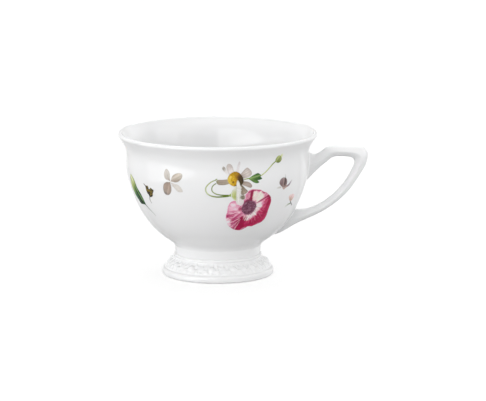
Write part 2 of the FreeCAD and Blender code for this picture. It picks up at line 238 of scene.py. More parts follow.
def glaze_material(name, tint=(1.0, 1.0, 1.0), printed=False, dull=0.0):
    """white porcelain under a clear glaze; a printed one takes its ink from the mesh's 'print' and 'cover' attributes"""
    m = bpy.data.materials.new(name)
    m.use_nodes = True
    nt = m.node_tree
    nt.nodes.clear()
    out = node(nt, "ShaderNodeOutputMaterial")
    p = node(nt, "ShaderNodeBsdfPrincipled")
    nt.links.new(p.outputs["BSDF"], out.inputs["Surface"])
    p.inputs["IOR"].default_value = 1.5
    p.inputs["Coat Weight"].default_value = 0.0
    p.inputs["Coat Roughness"].default_value = 0.02
    p.inputs["Subsurface Weight"].default_value = 0.06
    p.inputs["Subsurface Radius"].default_value = (1.0, 0.9, 0.8)
    p.inputs["Subsurface Scale"].default_value = 0.0015
    tc = node(nt, "ShaderNodeTexCoord")
    # slow pooling of the glaze
    pool = node(nt, "ShaderNodeTexNoise")
    pool.inputs["Scale"].default_value = 38.0
    pool.inputs["Detail"].default_value = 3.0
    nt.links.new(tc.outputs["Object"], pool.inputs["Vector"])
    ramp = node(nt, "ShaderNodeValToRGB")
    e = ramp.color_ramp.elements
    g = GLAZE
    e[0].position, e[1].position = 0.3, 0.72
    e[0].color = (g * 0.985 * tint[0], g * 0.988 * tint[1], g * 0.995 * tint[2], 1)
    e[1].color = (g * 1.0 * tint[0], g * 1.002 * tint[1], g * 1.005 * tint[2], 1)
    nt.links.new(pool.outputs["Fac"], ramp.inputs["Fac"])
    # very fine specks of the body showing through
    speck = node(nt, "ShaderNodeTexNoise")
    speck.inputs["Scale"].default_value = 2600.0
    speck.inputs["Detail"].default_value = 1.0
    nt.links.new(tc.outputs["Object"], speck.inputs["Vector"])
    # glaze gloss varies a little
    rr = node(nt, "ShaderNodeMapRange")
    rr.inputs["From Min"].default_value = 0.3
    rr.inputs["From Max"].default_value = 0.7
    rr.inputs["To Min"].default_value = 0.014
    rr.inputs["To Max"].default_value = 0.030
    nt.links.new(pool.outputs["Fac"], rr.inputs["Value"])
    rough = rr.outputs["Result"]
    colour = ramp.outputs["Color"]
    if printed:
        ink = node(nt, "ShaderNodeAttribute", attribute_name="print")
        cov = node(nt, "ShaderNodeAttribute", attribute_name="cover")
        grain = node(nt, "ShaderNodeMapRange")
        grain.inputs["From Min"].default_value = 0.3
        grain.inputs["From Max"].default_value = 0.7
        grain.inputs["To Min"].default_value = 0.90
        grain.inputs["To Max"].default_value = 1.06
        nt.links.new(speck.outputs["Fac"], grain.inputs["Value"])
        mul = node(nt, "ShaderNodeMix", data_type="RGBA", blend_type="MULTIPLY")
        mul.inputs["Factor"].default_value = 1.0
        nt.links.new(ink.outputs["Color"], mul.inputs["A"])
        nt.links.new(grain.outputs["Result"], mul.inputs["B"])
        mix = node(nt, "ShaderNodeMix", data_type="RGBA")
        nt.links.new(cov.outputs["Fac"], mix.inputs["Factor"])
        nt.links.new(colour, mix.inputs["A"])
        nt.links.new(mul.outputs["Result"], mix.inputs["B"])
        colour = mix.outputs["Result"]
        rm = node(nt, "ShaderNodeMath", operation="MULTIPLY_ADD")
        nt.links.new(cov.outputs["Fac"], rm.inputs[0])
        rm.inputs[1].default_value = 0.05
        nt.links.new(rough, rm.inputs[2])
        rough = rm.outputs["Value"]
        if dull:
            sp = node(nt, "ShaderNodeMath", operation="MULTIPLY_ADD")
            nt.links.new(cov.outputs["Fac"], sp.inputs[0])
            sp.inputs[1].default_value = -dull
            sp.inputs[2].default_value = 0.5
            nt.links.new(sp.outputs["Value"], p.inputs["Specular IOR Level"])
    nt.links.new(colour, p.inputs["Base Color"])
    nt.links.new(rough, p.inputs["Roughness"])
    # faint orange-peel of the fired glaze
    peel = node(nt, "ShaderNodeTexNoise")
    peel.inputs["Scale"].default_value = 330.0
    peel.inputs["Detail"].default_value = 2.0
    nt.links.new(tc.outputs["Object"], peel.inputs["Vector"])
    bump = node(nt, "ShaderNodeBump")
    bump.inputs["Strength"].default_value = 0.008
    bump.inputs["Distance"].default_value = 0.0002
    nt.links.new(peel.outputs["Fac"], bump.inputs["Height"])
    nt.links.new(bump.outputs["Normal"], p.inputs["Normal"])
    return m


def bisque_material(name):
    m = bpy.data.materials.new(name)
    m.use_nodes = True
    nt = m.node_tree
    p = nt.nodes["Principled BSDF"]
    tc = node(nt, "ShaderNodeTexCoord")
    n1 = node(nt, "ShaderNodeTexNoise")
    n1.inputs["Scale"].default_value = 900.0
    n1.inputs["Detail"].default_value = 4.0
    nt.links.new(tc.outputs["Object"], n1.inputs["Vector"])
    ramp = node(nt, "ShaderNodeValToRGB")
    ramp.color_ramp.elements[0].color = (0.60, 0.585, 0.55, 1)
    ramp.color_ramp.elements[1].color = (0.74, 0.725, 0.69, 1)
    nt.links.new(n1.outputs["Fac"], ramp.inputs["Fac"])
    nt.links.new(ramp.outputs["Color"], p.inputs["Base Color"])
    rr = node(nt, "ShaderNodeMapRange")
    rr.inputs["To Min"].default_value = 0.6
    rr.inputs["To Max"].default_value = 0.8
    nt.links.new(n1.outputs["Fac"], rr.inputs["Value"])
    nt.links.new(rr.outputs["Result"], p.inputs["Roughness"])
    b = node(nt, "ShaderNodeBump")
    b.inputs["Strength"].default_value = 0.35
    b.inputs["Distance"].default_value = 0.0001
    nt.links.new(n1.outputs["Fac"], b.inputs["Height"])
    nt.links.new(b.outputs["Normal"], p.inputs["Normal"])
    return m


M_GLAZE = glaze_material("porcelain_glaze")
M_PRINT = glaze_material("porcelain_print", printed=True)
M_LEAF = glaze_material("porcelain_print_leaf", printed=True, dull=0.45)          # less gloss, so the dark ink stays dark under this light
M_PETAL = glaze_material("porcelain_print_crimson", printed=True, dull=0.32)
M_BISQUE = bisque_material("bare_foot_ring")

# ------------------------------------------------------------------ bowl
SEG = 256


def resample(P, step_fn):
    """points on polyline P spaced by step_fn(fraction)"""
    d = np.r_[0, np.cumsum(np.linalg.norm(np.diff(P, axis=0), axis=1))]
    s, out = 0.0, [0.0]
    while True:
        s += step_fn(s / d[-1])
        if s >= d[-1] - 0.15:
            break
        out.append(s)
    out.append(d[-1])
    return np.c_[np.interp(out, d, P[:, 0]), np.interp(out, d, P[:, 1])]


def bowl_piece():
    outer = resample(OUT, lambda f: 0.45 if f < 0.08 else (0.8 if f < 0.7 else 0.6))
    lip = arc3(BOWL_OUT[-1], LIP_TOP, BOWL_IN[0], 15)[1:-1]
    inner = resample(fair(BOWL_IN, 1600), lambda f: 0.55 if f < 0.3 else 0.9)
    under = [(0.0, SEAM_Z - 0.35), (6.0, SEAM_Z - 0.33), (12.0, SEAM_Z - 0.2), (15.5, SEAM_Z - 0.06), (16.8, SEAM_Z), (SEAM_R - 0.35, SEAM_Z)]
    rows = under + outer.tolist() + lip.tolist() + inner.tolist()
    rows[-1] = (0.0, FLOOR_Z)
    V, F = lathe(rows, SEG)
    ob = build("Bowl", V, F)
    sharpen(ob, 40)
    ob.data.materials.append(M_GLAZE)
    return ob


bowl = bowl_piece()
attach(bowl, "root")
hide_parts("bowl")

# ------------------------------------------------------------------ foot with its moulded band
BAND_OUT = [(20.75, 8.62), (21.0, 7.75), (21.7, 6.85), (22.75, 6.0), (23.85, 5.15), (24.75, 4.3), (25.35, 3.5)]
MOTIFS = 14            # fruit + blossom pairs round the band


def leaf_h(x, y, cx, cy, ang, L, W, h):
    """raised pointed leaf with a pressed vein"""
    ca, sa = math.cos(ang), math.sin(ang)
    u = (x - cx) * ca + (y - cy) * sa
    v = -(x - cx) * sa + (y - cy) * ca
    t = np.clip(u / L, 0, 1)
    half = W * np.sin(np.pi * t ** 0.8) * (1 - 0.25 * t) + 1e-6
    inside = (u > 0) & (u < L)
    k = np.clip(1 - (v / half) ** 2, 0, 1) * inside
    vein = 1 - 0.30 * np.exp(-(v / 0.16) ** 2) * (t < 0.9)
    side = 1 - 0.08 * (0.5 + 0.5 * np.sin((u - np.abs(v) * 0.9) * 6.5))
    return h * k ** 0.75 * vein * side


def dome_h(x, y, cx, cy, r, h):
    d2 = ((x - cx) ** 2 + (y - cy) ** 2) / (r * r)
    return h * np.clip(1 - d2, 0, 1) ** 0.72


def blossom_h(x, y, cx, cy, r, h, turn):
    dx, dy = x - cx, y - cy
    ang = np.arctan2(dy, dx) + turn
    rad = np.hypot(dx, dy)
    lobe = 0.72 + 0.28 * np.abs(np.cos(2.5 * ang))
    R = r * lobe
    k = np.clip(1 - (rad / R) ** 2, 0, 1)
    cup = h * (0.60 + 0.40 * rad / r) * k ** 0.72
    groove = 1 - 0.30 * np.exp(-(np.sin(2.5 * ang) * rad / 0.22) ** 2) * (rad > 0.35)
    eye = dome_h(x, y, cx, cy, 0.62, h * 0.85)
    return np.maximum(cup * groove, eye)


def band_height(u, v, pitch, vmid):
    """height of the moulded garland; u runs round the band and repeats every pitch, v down it"""
    h = np.zeros_like(u)
    for off in (-pitch, 0.0, pitch):
        x = u - off
        fx, bx = pitch * 0.25, pitch * 0.75
        # round fruit with a small calyx dent
        f = dome_h(x, v, fx, vmid + 0.15, 1.85, 1.05)
        dent = 0.16 * np.exp(-(((x - fx + 0.45) ** 2 + (v - vmid + 0.55) ** 2) / 0.14))
        h = np.maximum(h, f - dent * (f > 0.3))
        # five-lobed blossom
        h = np.maximum(h, blossom_h(x, v, bx, vmid - 0.05, 2.1, 0.88, 0.3))
        # leaves between, two above and two below
        for cx in (pitch * 0.5, pitch * 1.0):
            h = np.maximum(h, leaf_h(x, v, cx - 0.15, vmid - 0.1, math.radians(-98), 2.75, 0.98, 0.66))
            h = np.maximum(h, leaf_h(x, v, cx + 0.15, vmid + 0.1, math.radians(82), 2.9, 1.0, 0.66))
            h = np.maximum(h, leaf_h(x, v, cx + 0.1, vmid - 0.6, math.radians(-38), 2.0, 0.72, 0.48))
            h = np.maximum(h, leaf_h(x, v, cx - 0.1, vmid + 0.7, math.radians(142), 2.0, 0.72, 0.48))
        # small berries along both edges
        for bx2, by2, br in ((0.06, -2.3, 0.58), (0.44, -2.25, 0.56), (0.56, 2.25, 0.60), (0.94, 2.3, 0.58), (0.25, -2.35, 0.52), (0.75, 2.45, 0.52), (0.25, 2.5, 0.50), (0.75, -2.5, 0.50)):
            h = np.maximum(h, dome_h(x, v, pitch * bx2, vmid + by2, br, 0.46))
    return h


def foot_piece():
    band = resample(fair(BAND_OUT, 600), lambda f: 0.135)
    dn = np.gradient(band, axis=0)
    dn /= np.linalg.norm(dn, axis=1)[:, None]
    nrm = np.c_[-dn[:, 1], dn[:, 0]]
    sb = np.r_[0, np.cumsum(np.linalg.norm(np.diff(band, axis=0), axis=1))]
    LEN = sb[-1]
    hi, lo = 960, 240
    # rows above the band, going down
    stem = resample(fair([(SEAM_R, SEAM_Z), (20.74, 13.2), (20.52, 12.0), (20.34, 10.9), (20.24, 10.1)], 200), lambda f: 0.3)
    bead = arc3((20.24, 10.1), (20.98, 9.4), (20.72, 8.72), 13)[1:]
    ridge = arc3((25.45, 3.42), (26.22, 3.12), (26.64, 2.45), 11)
    flange = [(26.69, 2.1), (26.7, 1.7), (26.7, 1.3)]
    toe = arc3((26.7, 1.1), (26.36, 0.32), (25.6, 0.0), 9)
    ring = [(25.0, 0.0), (24.2, 0.0)]
    heel = arc3((23.3, 0.0), (22.75, 0.25), (22.45, 0.9), 7)
    well = resample(fair([(22.45, 0.9), (21.7, 2.6), (20.2, 4.6), (18.6, 6.6), (17.6, 8.8), (17.3, 11.2), (17.2, 13.0)], 300), lambda f: 0.45)[1:]
    wfil = arc3((17.2, 13.0), (16.9, 13.85), (16.2, 14.16), 6)[1:]
    V, F, rows = [], [], []
    tl = np.linspace(0, 2 * np.pi, lo, endpoint=False)
    thi = np.linspace(0, 2 * np.pi, hi, endpoint=False)

    def add(rz, n):
        t = tl if n == lo else thi
        r = np.full(n, rz[0]) if np.isscalar(rz[0]) else rz[0]
        z = np.full(n, rz[1]) if np.isscalar(rz[1]) else rz[1]
        rows.append((len(V), n))
        V.extend(np.c_[r * np.cos(t), r * np.sin(t), z].tolist())

    for rz in stem:
        add(rz, lo)
    for rz in bead:
        add(rz, lo)
    pitch_ang = 2 * math.pi / MOTIFS
    rm = 23.0
    U, Vv = np.meshgrid((thi % pitch_ang) * rm, sb - LEN / 2)
    H = band_height(U, Vv, pitch_ang * rm, 0.0)
    # the glaze fills and rounds the moulding
    for _ in range(9):
        H = 0.25 * np.roll(H, 1, 1) + 0.5 * H + 0.25 * np.roll(H, -1, 1)
        Hp = np.vstack([H[:1], H, H[-1:]])
        H = 0.25 * Hp[:-2] + 0.5 * Hp[1:-1] + 0.25 * Hp[2:]
    H *= 1.12 * (sstep(0.0, 0.7, sb) * sstep(0.0, 0.7, LEN - sb))[:, None]
    for k in range(len(band)):
        r0, z0 = band[k]
        add((r0 + nrm[k, 0] * H[k], z0 + nrm[k, 1] * H[k]), hi)
    for part in (ridge, flange, toe, ring, heel, well, wfil):
        for rz in part:
            add(rz, lo)
    for k in range(len(rows) - 1):
        (a, na), (b, nb) = rows[k], rows[k + 1]
        if na == nb:
            i = np.arange(na)
            j = (i + 1) % na
            F.extend(np.c_[a + i, b + i, b + j, a + j].tolist())
        else:
            q = hi // lo
            for i in range(lo):
                j = (i + 1) % lo
                if na == lo:
                    F.append([a + i] + [b + (q * i + m) % hi for m in range(q + 1)] + [a + j])
                else:
                    F.append([b + i, b + j] + [a + (q * (i + 1) - m) % hi for m in range(q + 1)])
    # top annulus, hidden against the bowl
    (a, na), (b, nb) = rows[-1], rows[0]
    i = np.arange(lo)
    j = (i + 1) % lo
    F.extend(np.c_[a + i, b + i, b + j, a + j].tolist())
    ob = build("Foot", V, F)
    sharpen(ob, 50)
    ob.data.materials.append(M_GLAZE)
    ob.data.materials.append(M_BISQUE)
    for p in ob.data.polygons:
        c = p.center
        rr = math.hypot(c.x, c.y) / MM
        if c.z < 0.12 * MM and 23.1 < rr < 25.9:
            p.material_index = 1
    return ob


foot = foot_piece()
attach(foot, "root")
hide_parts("foot")

# ------------------------------------------------------------------ handle
HANDLE_O = [(40.9, 60.6), (43.35, 58.45), (44.6, 57.7), (46.0, 57.42), (47.4, 57.8), (48.9, 58.75), (50.5, 59.97),
            (52.3, 61.05), (54.5, 61.58), (57.3, 61.58), (60.3, 61.5), (63.4, 61.4), (66.2, 61.22), (68.6, 60.78),
            (70.4, 59.75), (71.33, 58.1), (71.38, 56.1), (70.93, 53.95), (69.95, 51.5), (68.35, 48.75),
            (66.71, 46.1), (65.1, 43.6), (62.76, 40.35), (59.93, 37.3), (56.77, 34.45), (53.34, 31.94),
            (49.73, 29.65), (45.9, 27.72), (42.06, 25.95), (38.15, 24.15), (34.3, 22.0), (31.4, 20.2), (28.9, 18.95), (26.9, 18.3), (24.2, 17.95)]
HANDLE_I = [(39.6, 41.2), (42.1, 44.3), (44.4, 46.85), (46.9, 49.45), (49.3, 51.65), (51.5, 53.45), (53.35, 55.05),
            (54.95, 55.95), (56.55, 56.25), (58.4, 56.3), (60.5, 56.22), (62.3, 55.97), (63.55, 55.6), (64.3, 55.05),
            (64.6, 54.3), (64.72, 53.5), (64.65, 52.75), (64.4, 52.0), (63.98, 51.2), (63.4, 49.95),
            (62.6, 48.35), (61.45, 46.3), (59.4, 43.3), (56.8, 40.3), (54.0, 37.55), (50.9, 35.15),
            (47.75, 33.2), (44.3, 31.75), (41.0, 30.95), (38.0, 30.85), (35.4, 31.0), (33.0, 31.1), (30.8, 31.0), (28.3, 30.5), (25.4, 29.8)]
HANDLE_W = [6.1, 5.3, 4.75, 4.3, 4.0, 3.8, 3.7, 3.7, 3.7, 3.7, 3.7, 3.7, 3.7, 3.7, 3.7, 3.7, 3.65, 3.6,
            3.55, 3.5, 3.45, 3.4, 3.35, 3.3, 3.3, 3.3, 3.4, 3.6, 4.0, 4.5, 5.0, 5.1, 4.9, 4.4, 3.8]


def section_radius(t, k, flat, p):
    """radius of a softly ridged six-sided section in direction t, in half-size units"""
    c, s = np.abs(np.cos(t)), np.abs(np.sin(t))
    rho = np.ones_like(t)
    for _ in range(25):
        x, y = rho * c, rho * s
        xs = np.sqrt(x * x + 0.10 ** 2) - 0.10
        ys = np.sqrt(y * y + 0.06 ** 2) - 0.06
        N = (x ** p + (ys * 1.05 + (1 - flat) * xs) ** p) ** (1.0 / p)
        rho = rho * (1 + (1 - N) * 0.6)
    return rho


def handle_piece():
    K = 72
    n = 460
    idx = np.arange(len(HANDLE_O), dtype=float)
    q = np.linspace(0, len(HANDLE_O) - 1, n)
    O = spline_at(idx, np.array(HANDLE_O, float), q)
    I = spline_at(idx, np.array(HANDLE_I, float), q)
    W = spline_at(idx, np.array(HANDLE_W, float), q)
    # fair the contours a little
    for _ in range(14):
        for A in (O, I):
            A[1:-1] = 0.25 * A[:-2] + 0.5 * A[1:-1] + 0.25 * A[2:]
    t = np.linspace(0, 2 * np.pi, K, endpoint=False)
    flat = 0.42
    rho = section_radius(t, 0, flat, 4.0)
    rho_e = np.ones_like(t)
    H = np.zeros((n, K, 3))
    for i in range(n):
        c = (O[i] + I[i]) / 2
        b = (O[i] - I[i]) / 2
        # softer section at the two roots
        f = i / (n - 1.0)
        soft = max(1 - sstep(0.0, 0.17, f), sstep(0.80, 0.95, f))
        r = rho * (1 - soft) + (0.5 * rho + 0.5 * rho_e) * soft
        x = r * np.cos(t)
        y = r * np.sin(t)
        H[i, :, 0] = c[0] + b[0] * x
        H[i, :, 2] = c[1] + b[1] * x
        H[i, :, 1] = W[i] * y

    def depth(P):
        """distance outside the wall of the bowl along its normal, roughly"""
        r = np.hypot(P[..., 0], P[..., 1])
        z = P[..., 2]
        rw = wall_r(z)
        nr = np.interp(z, OUT[:, 1], OUT_N[:, 0])
        return (r - rw) * np.clip(nr, 0.3, 1)

    D = depth(H)
    mid = n // 2
    f_mm = 0.9

    def on_wall(P, lift):
        """put points on the wall of the bowl, lifted by lift"""
        P = np.array(P, float)
        r = np.hypot(P[..., 0], P[..., 1])
        z = P[..., 2]
        # nearest point on the profile
        d2 = (OUT[None, ::6, 0] - r.reshape(-1, 1)) ** 2 + (OUT[None, ::6, 1] - z.reshape(-1, 1)) ** 2
        j = d2.argmin(1) * 6
        rr = OUT[j, 0] + OUT_N[j, 0] * lift
        zz = OUT[j, 1] + OUT_N[j, 1] * lift
        a = np.arctan2(P[..., 1], P[..., 0]).reshape(-1)
        return np.c_[rr * np.cos(a), rr * np.sin(a), zz].reshape(P.shape)

    def root(side):
        """for each line of the surface: the ring where the fillet begins and the one where it meets the wall"""
        start, touch = np.zeros((K, 3)), np.zeros((K, 3))
        cut = np.zeros(K)
        for k in range(K):
            rng = range(mid, 0, -1) if side < 0 else range(mid, n - 1)
            got = None
            for i in rng:
                j = i - 1 if side < 0 else i + 1
                if got is None and D[j, k] < f_mm:
                    w = (D[i, k] - f_mm) / (D[i, k] - D[j, k])
                    start[k] = lerp(H[i, k], H[j, k], w)
                    cut[k] = i
                    got = i
                if D[j, k] < 0:
                    w = D[i, k] / (D[i, k] - D[j, k])
                    touch[k] = lerp(H[i, k], H[j, k], w)
                    break
        return cut, start, touch

    c0, s0, t0 = root(-1)
    c1, s1, t1 = root(+1)

    def fillet(start, touch):
        cen = touch.mean(0)
        out = touch - cen
        # outward along the wall
        a = np.arctan2(touch[:, 1], touch[:, 0])
        z = touch[:, 2]
        nr = np.interp(z, OUT[:, 1], OUT_N[:, 0])
        nz = np.interp(z, OUT[:, 1], OUT_N[:, 1])
        N = np.c_[nr * np.cos(a), nr * np.sin(a), nz]
        # tangent of the footprint, then the in-plane normal to it
        T = np.roll(touch, -1, 0) - np.roll(touch, 1, 0)
        T /= np.linalg.norm(T, axis=1)[:, None] + 1e-9
        B = np.cross(T, N)
        B /= np.linalg.norm(B, axis=1)[:, None] + 1e-9
        sgn = np.sign((B * out).sum(1).mean())
        B *= sgn
        for _ in range(6):
            B = 0.25 * np.roll(B, 1, 0) + 0.5 * B + 0.25 * np.roll(B, -1, 0)
        B /= np.linalg.norm(B, axis=1)[:, None]
        end = on_wall(touch + B * f_mm, 0.012)
        ctrl = on_wall(touch, 0.012)
        rings = []
        for w in np.linspace(0, 1, 9):
            rings.append((1 - w) ** 2 * start + 2 * w * (1 - w) * ctrl + w * w * end)
        rings.append(on_wall(end + B * 0.25, -0.12))
        return rings, cen

    f0, cen0 = fillet(s0, t0)
    f1, cen1 = fillet(s1, t1)
    # main body rows between the two fillets; each line keeps its own start and end
    m = 250
    rows = []
    for u in np.linspace(0, 1, m)[1:-1]:
        ring = np.zeros((K, 3))
        for k in range(K):
            x = lerp(c0[k], c1[k], u)
            i = int(x)
            ring[k] = lerp(H[i, k], H[min(i + 1, n - 1), k], x - i)
        rows.append(ring)
    allr = list(reversed(f0)) + rows + f1
    V = np.concatenate(allr)
    F = []
    for i in range(len(allr) - 1):
        k = np.arange(K)
        j = (k + 1) % K
        F.extend(np.c_[i * K + k, i * K + j, (i + 1) * K + j, (i + 1) * K + k].tolist())
    V = V.tolist()

    def cap(base, ring, cen, flip):
        prev = base
        for w in (0.35, 0.7):
            R = on_wall(lerp(ring, cen, w), -0.35)
            st = len(V)
            V.extend(R.tolist())
            for k in range(K):
                j = (k + 1) % K
                F.append([prev + k, prev + j, st + j, st + k] if flip else [prev + j, prev + k, st + k, st + j])
            prev = st
        V.append(on_wall(np.array([cen]), -0.35)[0].tolist())
        c = len(V) - 1
        for k in range(K):
            j = (k + 1) % K
            F.append([prev + k, prev + j, c] if flip else [prev + j, prev + k, c])

    cap(0, allr[0], cen0, False)
    cap((len(allr) - 1) * K, allr[-1], cen1, True)
    ob = build("Handle", V, F)
    import bmesh
    bm = bmesh.new()
    bm.from_mesh(ob.data)
    bmesh.ops.recalc_face_normals(bm, faces=bm.faces)
    bm.to_mesh(ob.data)
    bm.free()
    ob.data.materials.append(M_GLAZE)
    return ob


handle = handle_piece()
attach(handle, "root")
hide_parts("handle")

# ------------------------------------------------------------------ printed motifs


def poly_d(P, Q):
    """signed distance to a closed outline, negative inside"""
    Q = np.asarray(Q, float)
    d = np.full(len(P), 1e9)
    inside = np.zeros(len(P), bool)
    lo, hi = Q.min(0) - 1.2, Q.max(0) + 1.2
    near = ((P > lo) & (P < hi)).all(1)
    box = np.maximum(np.maximum(Q.min(0) - P, P - Q.max(0)), 0)
    far = np.hypot(box[:, 0], box[:, 1])
    S = P[near]
    ds = np.full(len(S), 1e9)
    ins = np.zeros(len(S), bool)
    for k in range(len(Q)):
        a, b = Q[k - 1], Q[k]
        e = b - a
        w = S - a
        t = np.clip((w @ e) / (e @ e + 1e-12), 0, 1)
        v = w - t[:, None] * e
        ds = np.minimum(ds, (v * v).sum(1))
        c = ((a[1] > S[:, 1]) != (b[1] > S[:, 1]))
        xx = a[0] + (S[:, 1] - a[1]) * (b[0] - a[0]) / (b[1] - a[1] if abs(b[1] - a[1]) > 1e-12 else 1e-12)
        ins ^= c & (S[:, 0] < xx)
    ds = np.sqrt(ds)
    d = np.maximum(far, 1.0)
    d[near] = np.where(ins, -ds, ds)
    return d


def closed_curve(pts, n=5):
    """smooth closed outline through pts"""
    P = np.asarray(pts, float)
    out = []
    m = len(P)
    for i in range(m):
        p0, p1, p2, p3 = P[i - 1], P[i], P[(i + 1) % m], P[(i + 2) % m]
        for k in range(n):
            t = k / n
            out.append(0.5 * ((2 * p1) + (p2 - p0) * t + (2 * p0 - 5 * p1 + 4 * p2 - p3) * t * t + (3 * p1 - p0 - 3 * p2 + p3) * t ** 3))
    return np.array(out)


def open_curve(pts, n=8):
    P = np.asarray(pts, float)
    P = np.vstack([2 * P[0] - P[1], P, 2 * P[-1] - P[-2]])
    out = []
    for i in range(1, len(P) - 2):
        p0, p1, p2, p3 = P[i - 1], P[i], P[i + 1], P[i + 2]
        for k in range(n):
            t = k / n
            out.append(0.5 * ((2 * p1) + (p2 - p0) * t + (2 * p0 - 5 * p1 + 4 * p2 - p3) * t * t + (3 * p1 - p0 - 3 * p2 + p3) * t ** 3))
    out.append(P[-2])
    return np.array(out)


def path_d(P, path):
    """distance to a path, the fraction along it and the signed side"""
    Q = open_curve(path)
    L = np.r_[0, np.cumsum(np.linalg.norm(np.diff(Q, axis=0), axis=1))]
    best = np.full(len(P), 1e9)
    frac = np.zeros(len(P))
    side = np.zeros(len(P))
    for k in range(len(Q) - 1):
        a, b = Q[k], Q[k + 1]
        e = b - a
        w = P - a
        t = np.clip((w @ e) / (e @ e + 1e-12), 0, 1)
        v = w - t[:, None] * e
        d = np.hypot(v[:, 0], v[:, 1])
        m = d < best
        best[m] = d[m]
        frac[m] = (L[k] + t[m] * (L[k + 1] - L[k])) / L[-1]
        side[m] = np.sign(e[0] * w[m, 1] - e[1] * w[m, 0])
    return best, frac, side


def ramp(t, stops):
    """colour along stops [(t, (r, g, b)), ...]"""
    x = [s[0] for s in stops]
    c = np.array([lin(s[1]) for s in stops])
    return np.c_[np.interp(t, x, c[:, 0]), np.interp(t, x, c[:, 1]), np.interp(t, x, c[:, 2])]


class Ink:
    """what is printed at each of a set of points of a motif's flat drawing"""

    def __init__(self, P):
        self.P = P
        self.rgb = np.zeros((len(P), 3))
        self.a = np.zeros(len(P))
        self.D = np.full(len(P), 1e3)

    def lay(self, d, colour, soft=0.16, opacity=1.0):
        m = sstep(soft * 0.5, -soft * 0.5, d) * opacity
        self.rgb = self.rgb * (1 - m[:, None]) + colour * m[:, None]
        self.a = self.a * (1 - m) + m
        self.D = np.minimum(self.D, d)

    def tint(self, m, colour):
        """mix colour into what is already printed"""
        m = np.clip(m, 0, 1)[:, None] * self.a[:, None]
        self.rgb = self.rgb * (1 - m) + colour * m

    def petal(self, outline, base, tip, stops, edge=None, edge_w=0.45, streak=0.25, streak_n=1.7, seed=1, soft=0.16, opacity=1.0, vein=None, jag=0.0):
        P = self.P
        d = poly_d(P, closed_curve(outline))
        if jag:
            d = d + jag * (fbm(P[:, 0] * 1.6, P[:, 1] * 1.6, seed + 5) - 0.5)
        base, tip = np.asarray(base, float), np.asarray(tip, float)
        ax = tip - base
        L = np.hypot(*ax)
        ax = ax / L
        w = P - base
        v = (w @ ax) / L
        u = w @ np.array([-ax[1], ax[0]])
        col = ramp(np.clip(v, 0, 1), stops)
        s = vnoise(u * streak_n * (1.6 - 0.5 * np.clip(v, 0, 1)), v * 1.3, seed)
        s2 = vnoise(u * streak_n * 3.1, v * 2.0, seed + 3)
        g = 1 + streak * ((s - 0.5) * 1.3 + (s2 - 0.5) * 0.7)
        col = col * g[:, None]
        if edge is not None:
            k = np.exp(-np.clip(-d, 0, 9) / edge_w)
            col = lerp(col, lin(edge)[None], (0.85 * k)[:, None])
        if vein is not None:
            k = np.exp(-(u / 0.13) ** 2) * (v > 0.05) * (v < 0.9) * 0.6
            col = lerp(col, lin(vein)[None], k[:, None])
        self.lay(d, col, soft, opacity)
        return d, u, v

    def stroke(self, path, w0, w1, stops, edge=None, soft=0.12, opacity=1.0, shade=0.3):
        d, f, side = path_d(self.P, path)
        half = 0.5 * (w0 + (w1 - w0) * f)
        col = ramp(f, stops)
        if edge is not None:
            k = sstep(0.35, 1.0, d / half)
            col = lerp(col, lin(edge)[None], (0.8 * k)[:, None])
        col = col * (1 + shade * side * np.clip(d / half, 0, 1) * 0.6)[:, None]
        self.lay(d - half, col, soft, opacity)


ANEMONE = [(-7.6, 4.0), (-9.0, 3.3), (-9.9, 1.4), (-10.2, -0.8), (-10.4, -2.5), (-10.8, -3.9), (-10.7, -6.3), (-9.7, -9.1),
           (-8.0, -11.1), (-6.1, -12.5), (-4.1, -13.1), (-1.8, -13.1), (0.2, -12.0), (1.9, -11.0), (3.8, -11.2), (5.8, -10.5),
           (8.2, -9.6), (10.1, -8.1), (10.9, -6.1), (11.0, -3.6), (11.0, -1.5), (11.3, 0.5), (11.3, 2.4), (10.6, 4.4),
           (9.3, 6.0), (7.8, 7.1), (6.2, 7.8), (5.0, 8.5), (3.6, 9.0), (1.9, 9.3), (0.5, 9.3), (-0.7, 8.9),
           (-1.6, 8.2), (-2.2, 6.9), (-3.0, 5.7), (-3.8, 4.5), (-5.2, 4.1), (-6.5, 4.4)]

